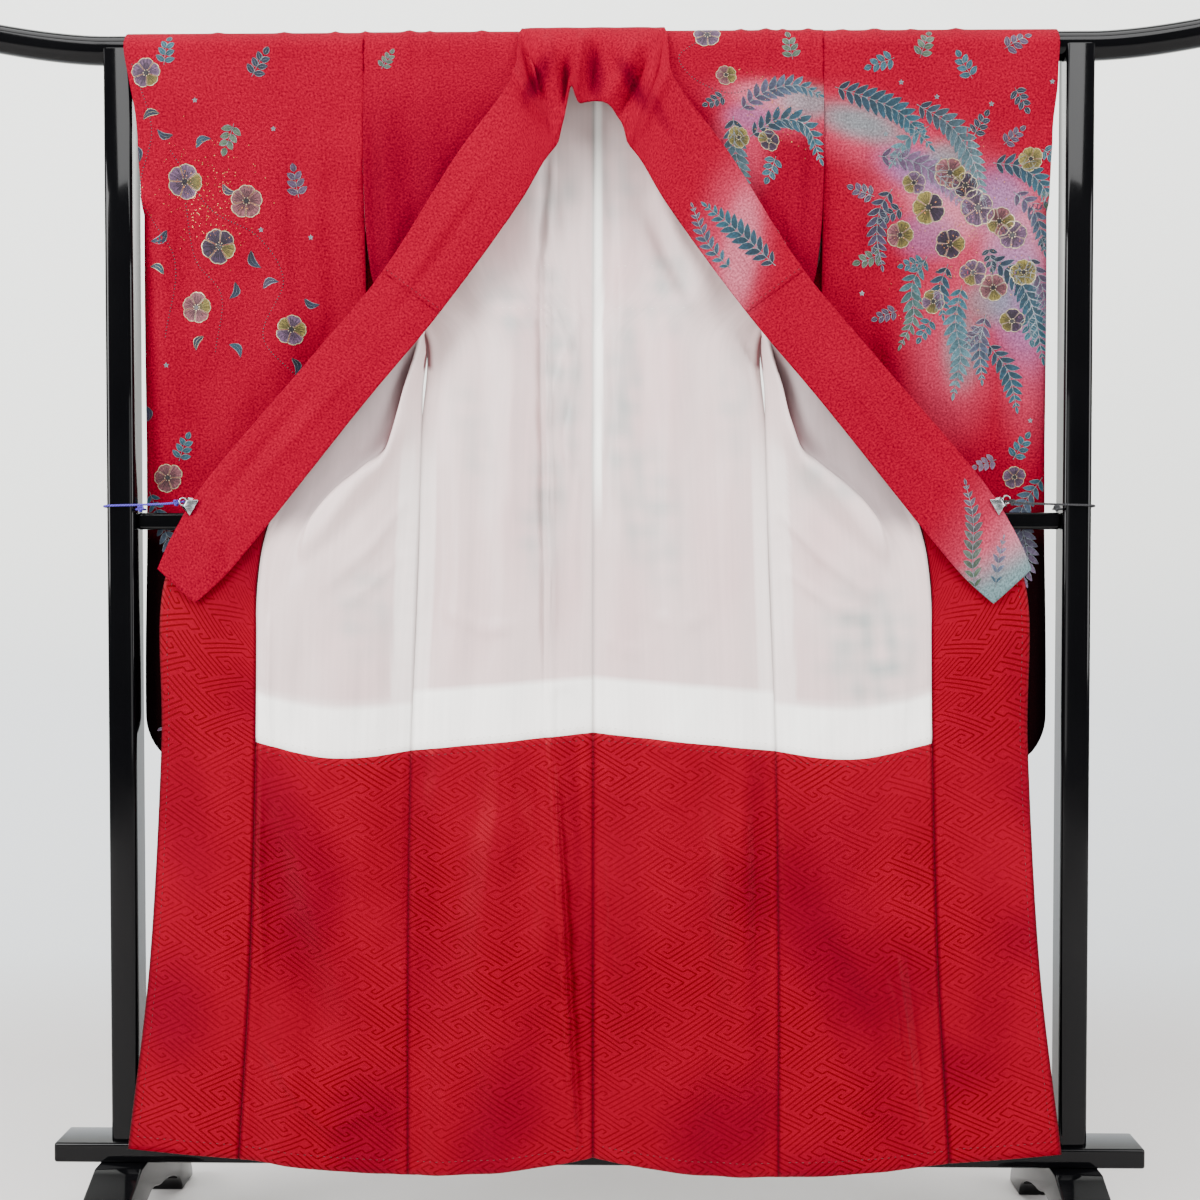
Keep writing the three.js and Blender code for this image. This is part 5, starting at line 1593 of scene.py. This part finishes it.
def leaf(host, centre, angle, length, width, bend=0.0, colour=TEAL, tip=None, edge=SILVER, rib=True):
    """A lens-shaped leaf from its base at centre, with a stitched edge and a midrib."""
    t = np.linspace(0, 1, 7)[:, None]
    half = width / 2 * np.sin(math.pi * t ** 0.85) ** 0.8
    middle = np.concatenate([length * t, bend * length * np.sin(math.pi * t)], 1)

    def strip(s):
        s = np.asarray(s, float)[None, :]
        return np.stack([middle[:, :1] + 0 * s, middle[:, 1:] + half * s], -1)

    tip = colour * 1.9 if tip is None else tip
    shade = colour * (1 - t[..., None]) + tip * t[..., None]
    host.patch(turned(strip([-0.9, -0.3, 0.3, 0.9]), centre, angle), shade, 0.22)
    rim = min(0.9, 1.5 / width)
    for s in ((-1.0, -1.0 + rim), (1.0 - rim, 1.0)):
        host.patch(turned(strip(s), centre, angle), edge, 0.42, 1)
    if rib:
        host.patch(turned(strip([-0.35 / width, 0.35 / width]), centre, angle), edge * 0.8, 0.44, 1)


def blossom(host, centre, angle, radius, colour=MAUVE, heart=STRAW, edge=IVORY, petals=5):
    """A round five-petalled blossom: outlined petals with dark streaks running from its heart."""
    rng = np.random.default_rng(int(abs(centre[0] * 7 + centre[1] * 3)) % 9973)
    spread = math.radians(180 / petals * 0.97)

    def petal(n, size, t, s):
        t, s = np.asarray(t, float)[:, None], np.asarray(s, float)[None, :]
        a = s * spread * (0.88 + 0.12 * np.sin(math.pi * 0.5 * t)) + math.tau * n / petals
        r = t * size * (0.86 + 0.14 * np.cos(s * math.pi * 0.5) - 0.06 * np.exp(-(s / 0.2) ** 2))
        return turned(np.stack([r * np.cos(a), r * np.sin(a)], -1), centre, angle)

    t, s = np.array([0.1, 0.3, 0.5, 0.7, 0.86, 0.97]), np.linspace(-1, 1, 11)
    for n in range(petals):
        size = radius * rng.uniform(0.92, 1.06)
        tone = heart * 0.8 if rng.uniform() < 0.26 else colour
        streak = 0.8 + 0.3 * np.cos(s * 13 + rng.uniform(0, 6))[None, :, None]
        rise = (0.5 + 0.75 * t)[:, None, None]
        host.patch(petal(n, size, t, s), tone * rng.uniform(0.62, 1.0) * streak * rise, 0.26)
        host.patch(petal(n, size, [0.95, 1.0], s), edge, 0.46, 1)
        for k in (-1.0, 0.93):
            host.patch(petal(n, size, t, [k, k + 0.07]), edge * 0.6, 0.38, 1)
        for k in (-0.62, -0.32, 0.0, 0.32, 0.62):
            tip = rng.uniform(0.55, 0.82)
            host.patch(petal(n, size, [0.12, 0.35, tip], [k - 0.035, k + 0.035]), INK, 0.4)
    speck(host, centre, radius * 0.15, INK, 0.5)
    for n in range(7):
        speck(host, turned(np.array([radius * 0.2, 0.0]), centre, angle + 51.4 * n), 0.75, edge, 0.56)


def speck(host, centre, radius, colour=GOLD, lift=0.5):
    """A round dot of gold or paint."""
    local = np.reshape(rows("-0.72 -0.72 0 -1 0.72 -0.72, -1 0 0 0 1 0, -0.72 0.72 0 1 0.72 0.72"),
                       (3, 3, 2))
    host.patch(turned(local, centre, 0, radius), colour, lift, 1)


def sprig(host, centre, angle, size, colour=TEAL, leaves=7, edge=SILVER, tip=None):
    """A short stalk with round leaflets in pairs and one at its end."""
    foot = turned(np.array([-size * 0.45, 0.0]), centre, angle)
    for n in range(leaves):
        last = n == leaves - 1
        start = turned(np.array([size * (0.14 + 0.24 * (n // 2)), 0.0]), foot, angle)
        turn = angle + (0 if last else (1 - 2 * (n % 2)) * (64 - 9 * (n // 2)))
        leaf(host, start, turn, size * (0.4 - 0.03 * (n // 2)), size * 0.22, 0.0,
             colour * (0.8 + 0.14 * (n % 3)), tip, edge)
    stalk(host, [foot, turned(np.array([size * 0.8, size * 0.03]), foot, angle)], 0.8, edge * 0.7)


def stalk(host, points, width, colour):
    path = smooth_curve(np.asarray(points, float), np.linspace(0, len(points) - 1, 6 * len(points)))
    along = unit(np.gradient(path, axis=0))
    out = np.stack([-along[:, 1], along[:, 0]], -1) * width / 2
    host.patch(np.stack([path - out, path + out], 1), colour, 0.4, 1)


def frond(host, points, size, colour=NAVY, tip=TEAL, edge=SILVER, gap=11.0):
    """A fern-like spray: pairs of narrow leaflets along a bending stalk, smaller to its tip."""
    points = np.reshape(np.asarray(points, float), (-1, 2))
    path = smooth_curve(points, np.linspace(0, len(points) - 1, 160))
    run = run_along(path)
    stalk(host, points, 1.0, edge * 0.8)
    count = int(run[-1] / gap)
    for n in range(count):
        place = run[-1] * (n + 0.5) / count
        at = np.array([np.interp(place, run, path[:, k]) for k in (0, 1)])
        ahead = np.array([np.interp(min(place + 3, run[-1]), run, path[:, k]) for k in (0, 1)])
        heading = math.degrees(math.atan2(*(ahead - at)[::-1])) if place + 3 < run[-1] else heading
        along = place / run[-1]
        long = size * math.sin(math.pi * (0.2 + 0.74 * along)) ** 0.8
        shade = colour * (1 - along) + tip * along
        for side in (-1, 1):
            leaf(host, at, heading + side * (50 - 12 * along), long, long * 0.42, -0.06 * side,
                 shade * (0.85 + 0.3 * (n % 2)), None, edge, False)
    leaf(host, path[-1], heading, size * 0.5, size * 0.2, 0, tip, None, edge, False)


def dotted_vine(host, points):
    """A trail of dark dots, kept for the beads laid along it when the cloth is finished."""
    path = smooth_curve(np.asarray(points, float), np.linspace(0, len(points) - 1, 24 * len(points)))
    host.vines.append(host.place(path[:, 0], path[:, 1], 0.3))


def gold_dust(host, centre, spread, count, seed, colour=GOLD):
    rng = np.random.default_rng(seed)
    for p, q in rng.normal(0, 1, (count, 2)) * spread + centre:
        speck(host, (p, q), rng.uniform(0.4, 0.85), colour * rng.uniform(0.7, 1.5))


def star(host, centre, size=4.0, colour=SILVER):
    for n in range(5):
        leaf(host, centre, 90 + 72 * n, size, size * 0.5, 0, colour, colour, colour, False)


def make_painted_silk():
    """Dye brushed on the crepe, a little drier than the cloth, so the pebbles break it up."""
    material, tree, shader, uv, dye = new_cloth("brushed_dye_on_crepe")
    pebble = grain(tree, uv, 2.0, 3.0, 0.65)
    fill(tree, shader, {
        "Base Color": toned(tree, dye, pebble, [(0.3, 0.55), (0.5, 1.0), (0.72, 1.7)]),
        "Normal": node(tree, "ShaderNodeBump", {
            "Height": pebble, "Distance": 0.8 * MM, "Strength": 0.5}),
        "Roughness": 0.6, "Specular IOR Level": 0.2})
    return material


def make_metal_thread():
    """Couched metal-wrapped thread: short bright glints along each outline."""
    material, tree, shader, uv, dye = new_cloth("couched_metal_thread")
    wrap = grain(tree, uv, 1.2, 2.0, 0.6)
    fill(tree, shader, {
        "Base Color": toned(tree, dye, wrap, [(0.3, 0.5), (0.5, 1.0), (0.7, 1.9)]),
        "Normal": node(tree, "ShaderNodeBump", {
            "Height": wrap, "Distance": 0.5 * MM, "Strength": 0.6}),
        "Metallic": 0.35, "Roughness": 0.42})
    return material


painted_silk = make_painted_silk()
metal_thread = make_metal_thread()


def decorate_sleeve(host, side):
    """Blossoms and falling leaves on the left sleeve, a large spray on the right one."""
    if side < 0:
        blossoms = rows("""
            -628 -72 21 mauve, -578 -222 25 mauve, -490 -250 24 rose, -530 -312 26 plum
            -566 -398 22 rose, -430 -430 22 mauve, -612 -640 22 rose, -480 300 25 mauve
            -560 380 24 rose, -420 520 21 plum
            """)
        leaves = rows("""
            -610 -128 200 16, -592 -158 160 15, -640 -196 120 17, -560 -176 30 16, -524 -226 330 15
            -604 -290 210 18, -486 -318 300 18, -510 -362 250 16, -610 -352 150 15, -470 -372 20 16
            -412 -386 340 15, -430 -470 280 15, -556 -438 240 15, -520 -450 310 16, -640 -560 100 15
            -500 350 120 18, -530 310 200 16, -590 430 60 16, -450 470 150 18
            """)
        sprigs = rows("""
            -600 -44 80 24 teal, -470 -62 60 26 navy, -512 -160 250 26 sage, -420 -226 100 26 plum
            -590 -600 70 24 teal, -380 60 40 24 sage, -560 200 120 26 navy
            """)
        stars = rows("""
            -560 -110, -450 -150, -470 -290, -400 -300, -610 -480, -520 240, -420 330
            """)
        for p, q, size, colour in blossoms:
            blossom(host, (p, q), p % 72, size, colour, STRAW if colour is not STRAW else PLUM)
        for n, (p, q, angle, length) in enumerate(leaves):
            leaf(host, (p, q), angle, length * 1.6, length * 0.66, 0.26 if n % 2 else -0.24,
                 (NAVY, INK, NAVY, TEAL, PLUM)[n % 5], NAVY * 2.2, IVORY if n % 4 == 0 else SILVER)
        for p, q, angle, size, colour in sprigs:
            sprig(host, (p, q), angle, size * 1.6, colour)
        for p, q in stars:
            star(host, (p, q))
        dotted_vine(host, [(-648, -60), (-622, -150), (-640, -240), (-596, -330), (-610, -440)])
        dotted_vine(host, rows("-596 -180, -540 -262, -474 -300, -440 -360, -470 -440, -420 -500"))
        dotted_vine(host, [(-578, -252), (-566, -330), (-530, -380), (-540, -460)])
        gold_dust(host, (-545, -245), (34, 42), 260, 5)
        gold_dust(host, (-540, 340), (40, 50), 160, 6)
        lower = rows("""
            -640 -660  -600 -760  -560 -860  -500 -930
            -470 -900  -540 -960  -620 -1000
            -400 -800  -420 -900  -480 -990
            -620 700  -560 800  -500 880
            -420 640  -470 760  -560 860
            """)
        for path in lower:
            frond(host, path, 22, TEAL, MAUVE)
        for p, q, size in rows("-590 -840 19, -500 -840 17, -440 -960 20, -480 820 20, -600 900 18"):
            blossom(host, (p, q), p % 60, size, MAUVE)
        return
    fronds = rows("""
        338 -96  380 -110  430 -132  470 -176  26  navy  teal
        400 -190  440 -196  486 -220  520 -262  24  plum  mauve
        452 -120  500 -150  530 -196  548 -250  26  navy  mist
        560 -330  598 -360  622 -410  636 -470  26  navy  teal
        520 -370  512 -420  520 -470  512 -520  25  teal  mist
        470 -330  450 -370  452 -414  436 -452  22  teal  sage
        590 -240  620 -270  636 -320  22  plum  teal
        560 -450  588 -490  600 -540  22  navy  teal
        640 -640  610 -690  620 -760  600 -820  24  teal  mauve
        540 -980  590 -930  600 -860  24  teal  mist
        400 -960  440 -900  500 -880  24  mauve  teal
        420 120  470 180  530 220  600 230  26  navy  teal
        480 260  540 300  590 360  610 430  26  teal  mist
        420 300  430 360  470 420  530 470  24  plum  mauve
        400 700  450 770  530 800  600 860  24  teal  mauve
        420 -236  404 -262  400 -300  408 -340  22  navy  plum
        560 -200  596 -206  628 -232  642 -262  24  navy  teal
        500 -340  490 -372  494 -410  22  navy  teal
        556 -410  548 -450  552 -500  22  plum  teal
        612 -330  634 -372  640 -420  22  navy  mauve
        470 -150  440 -168  420 -200  20  teal  mist
        """)
    for *path, size, colour, tip in fronds:
        frond(host, path, size, colour, tip)
    blossoms = rows("""
        500 -214 23 rose, 540 -262 26 mauve, 470 -262 24 straw, 502 -312 22 plum, 590 -300 20 mauve
        432 -300 20 rose, 566 -372 21 rose, 480 -392 18 mauve, 612 -196 18 straw, 522 -232 19 plum
        572 -280 21 rose, 536 -352 20 mauve, 606 -352 19 straw, 450 -228 17 mauve, 592 -420 17 plum
        600 -640 17 mauve, 520 -900 20 mauve, 580 300 24 rose, 520 350 22 mauve, 560 250 20 straw
        470 460 20 plum
        """)
    for p, q, size, colour in blossoms:
        blossom(host, (p, q), p % 72, size, colour, STRAW if colour is not STRAW else PLUM)
    sprigs = rows("""
        404 -62 200 26 teal, 462 -40 70 26 sage, 520 -70 120 26 teal, 588 -36 30 26 plum
        596 -112 300 24 navy, 380 -240 160 24 plum, 392 -330 200 26 sage, 616 -430 280 26 teal
        540 -440 230 24 plum, 640 -250 20 22 sage, 606 -600 60 26 teal, 560 -620 200 22 mauve
        450 60 60 26 teal, 560 90 120 26 sage, 610 160 200 24 plum, 420 -270 210 24 navy
        540 -150 60 24 navy, 452 -340 190 22 teal, 586 -166 40 22 plum, 640 -190 330 22 teal
        560 -330 280 22 navy, 470 -430 240 24 teal, 416 -410 200 22 plum, 640 -310 350 20 navy
        """)
    for p, q, angle, size, colour in sprigs:
        sprig(host, (p, q), angle, size * 1.5, colour)
    for p, q in rows("430 -90, 556 -120, 640 -90, 480 -110, 410 -160, 620 -560, 380 -380"):
        star(host, (p, q))
    gold_dust(host, (520, -290), (52, 60), 240, 7)
    gold_dust(host, (540, 330), (50, 60), 160, 8)


def hem_spray(host, side):
    """Fronds and blossoms that rise from the black hem at the back."""
    if side < 0:
        fronds = rows("""
            -40 1480  -90 1400  -110 1300  -80 1200  28  teal  mist
            -120 1500  -180 1420  -240 1360  -300 1330  28  light_navy  teal
            -60 1180  -120 1130  -190 1110  24  plum  mauve
            """)
        blossoms = rows("""
            -70 1340 26 mauve, -160 1290 28 rose, -220 1430 25 mauve, -130 1200 22 rose
            -40 1240 20 straw
            """)
    else:
        fronds = rows("""
            30 1450  80 1360  90 1250  50 1150  28  teal  mist
            110 1500  160 1400  230 1330  300 1300  28  teal  mauve
            130 1260  190 1200  260 1180  26  light_navy  teal
            60 1080  110 1040  170 1030  24  plum  mauve
            """)
        blossoms = rows("""
            60 1300 28 rose, 130 1340 26 mauve, 200 1270 26 straw, 240 1400 24 rose, 100 1170 22 mauve
            160 1110 20 rose
            """)
    for *path, size, colour, tip in fronds:
        frond(host, path, size, colour, tip)
    for p, q, size, colour in blossoms:
        blossom(host, (p, q), p % 72, size, colour)


def decorate_shoulder(host, side):
    hem_spray(host, side)
    if side < 0:
        for p, q, angle, size, colour in ((-290, -60, 60, 20, SAGE), (-230, 180, 120, 26, TEAL),
                                          (-120, 300, 80, 26, PLUM), (-250, 420, 200, 26, SAGE)):
            sprig(host, (p, q), angle, size * 1.5, colour)
        return
    blossom(host, (160, -22), 20, 21, MAUVE)
    blossom(host, (186, -88), 40, 16, ROSE)
    blossom(host, (232, 240), 40, 24, ROSE)
    blossom(host, (180, 300), 10, 22, MAUVE)
    blossom(host, (204, -178), 55, 16, STRAW)
    blossom(host, (246, -180), 15, 15, PLUM)
    sprig(host, (172, -128), 210, 32, NAVY)
    dotted_vine(host, [(150, -30), (120, -60), (140, -96), (190, -116), (230, -104)])
    for path, size, colour, tip in (
            ([(206, -140), (240, -112), (282, -100), (316, -112)], 24, PLUM, TEAL),
            ([(220, -176), (262, -150), (300, -160), (318, -200)], 24, NAVY, TEAL),
            ([(196, -150), (200, -200), (214, -250)], 24, NAVY, MIST),
            ([(140, 200), (200, 220), (260, 200), (310, 180)], 26, NAVY, TEAL),
            ([(100, 340), (160, 360), (230, 350), (300, 300)], 26, TEAL, MIST)):
        frond(host, path, size, colour, tip)
    sprig(host, (276, -44), 100, 38, SAGE)
    sprig(host, (250, -216), 250, 38, TEAL)
    gold_dust(host, (250, -140), (30, 26), 70, 9)


# ---------- making it all

def make_kimono():
    for side, name in ((-1, "left"), (1, "right")):
        outer, lining, back, front, spray, white_rows, red_rows = make_body(name, side)
        strip, strip_lining, strip_rows = make_overlap(name, side)
        sleeve, spray = make_sleeve(name, side, 10 if side < 0 else 0)
    collar, cover, end_spray, spray = make_collar()


make_kimono()
make_ties()


# ---------- studio

def make_studio():
    """A pale floor that curves up into a plain backdrop."""
    wall, bend = 1500.0, 700.0
    arc = np.linspace(0, math.pi / 2, 24)
    profile = [(wall - bend + bend * math.sin(a), bend - bend * math.cos(a) - 0.5) for a in arc]
    profile = [(-4800.0, -0.5)] + profile + [(wall, 5200.0)]
    xs = (-6000.0, 6000.0)
    points = [(x, y, z) for y, z in profile for x in xs]
    quads = [[2 * k, 2 * k + 1, 2 * k + 3, 2 * k + 2] for k in range(len(profile) - 1)]
    material, tree, shader = new_material("pale_studio_paper")
    place = node(tree, "ShaderNodeTexCoord", output="Object")
    height = node(tree, "ShaderNodeSeparateXYZ", [place], 2)
    # painted light and shade: the paper is darker on the floor and grows lighter up the wall
    tone = node(tree, "ShaderNodeValToRGB", [height], stops=[
        (0.0, "#c3c0be"), (0.12, "#ced2d4"), (0.6, "#d9dddf"), (1.0, "#e6e8e4")])
    fill(tree, shader, {
        "Base Color": toned(tree, tone, grain(tree, place, 900.0), [(0.3, 0.98), (0.7, 1.02)]),
        "Roughness": 0.9})
    # seen from behind or from below, the paper is clear and hides nothing
    reverse = node(tree, "ShaderNodeNewGeometry", output="Backfacing")
    clear = node(tree, "ShaderNodeBsdfTransparent")
    both = node(tree, "ShaderNodeMixShader", [reverse, shader.outputs[0], clear])
    fill(tree, tree.nodes["Material Output"], {"Surface": both})
    mesh_object("studio_sweep", points, quads, [material])


def area_light(name, place, target, size, power, colour="#ffffff"):
    light = bpy.data.lights.new(name, "AREA")
    light.shape = "RECTANGLE"
    light.size, light.size_y = size
    light.energy = power
    light.color = tuple(linear(colour))
    made = bpy.data.objects.new(name, light)
    made.location = place
    made.visible_camera = False
    made.rotation_euler = (Vector(target) - Vector(place)).to_track_quat("-Z", "Y").to_euler()
    bpy.context.scene.collection.objects.link(made)


def make_lights():
    area_light("left_softbox", (-3.1, -2.3, 2.2), (0, 0, 0.95), (1.8, 2.8), 350)
    area_light("right_softbox", (3.1, -2.3, 1.9), (0, 0, 0.9), (1.8, 2.8), 225)
    area_light("overhead_softbox", (0.0, -2.3, 4.1), (0, 0, 0.8), (3.4, 1.6), 190)
    area_light("front_low_fill", (0.0, -4.2, 0.9), (0, 0, 0.8), (2.2, 1.4), 36)
    area_light("backdrop_wash", (0.0, -0.2, 3.9), (0, 1.4, 0.6), (3.6, 1.4), 105)
    world = bpy.data.worlds.new("studio_air")
    world.use_nodes = True
    air = world.node_tree
    # the air lights the cloth softly, and beyond the paper it looks as pale as the paper
    eye = node(air, "ShaderNodeLightPath", output="Is Camera Ray")
    fill(air, air.nodes["Background"], {
        "Color": (*linear("#eef0f2"), 1),
        "Strength": node(air, "ShaderNodeMapRange", {0: eye, "To Min": 0.24, "To Max": 2.6})})
    bpy.context.scene.world = world


def make_camera():
    camera = bpy.data.cameras.new("front_view")
    camera.sensor_width = 36
    camera.lens = 50.25
    made = bpy.data.objects.new("front_view", camera)
    made.location = (0.0462, -2.3896, 0.9804)
    made.rotation_euler = (math.pi / 2 - 0.0275, 0, 0.0175)
    bpy.context.scene.collection.objects.link(made)
    bpy.context.scene.camera = made


make_studio()
make_lights()
make_camera()
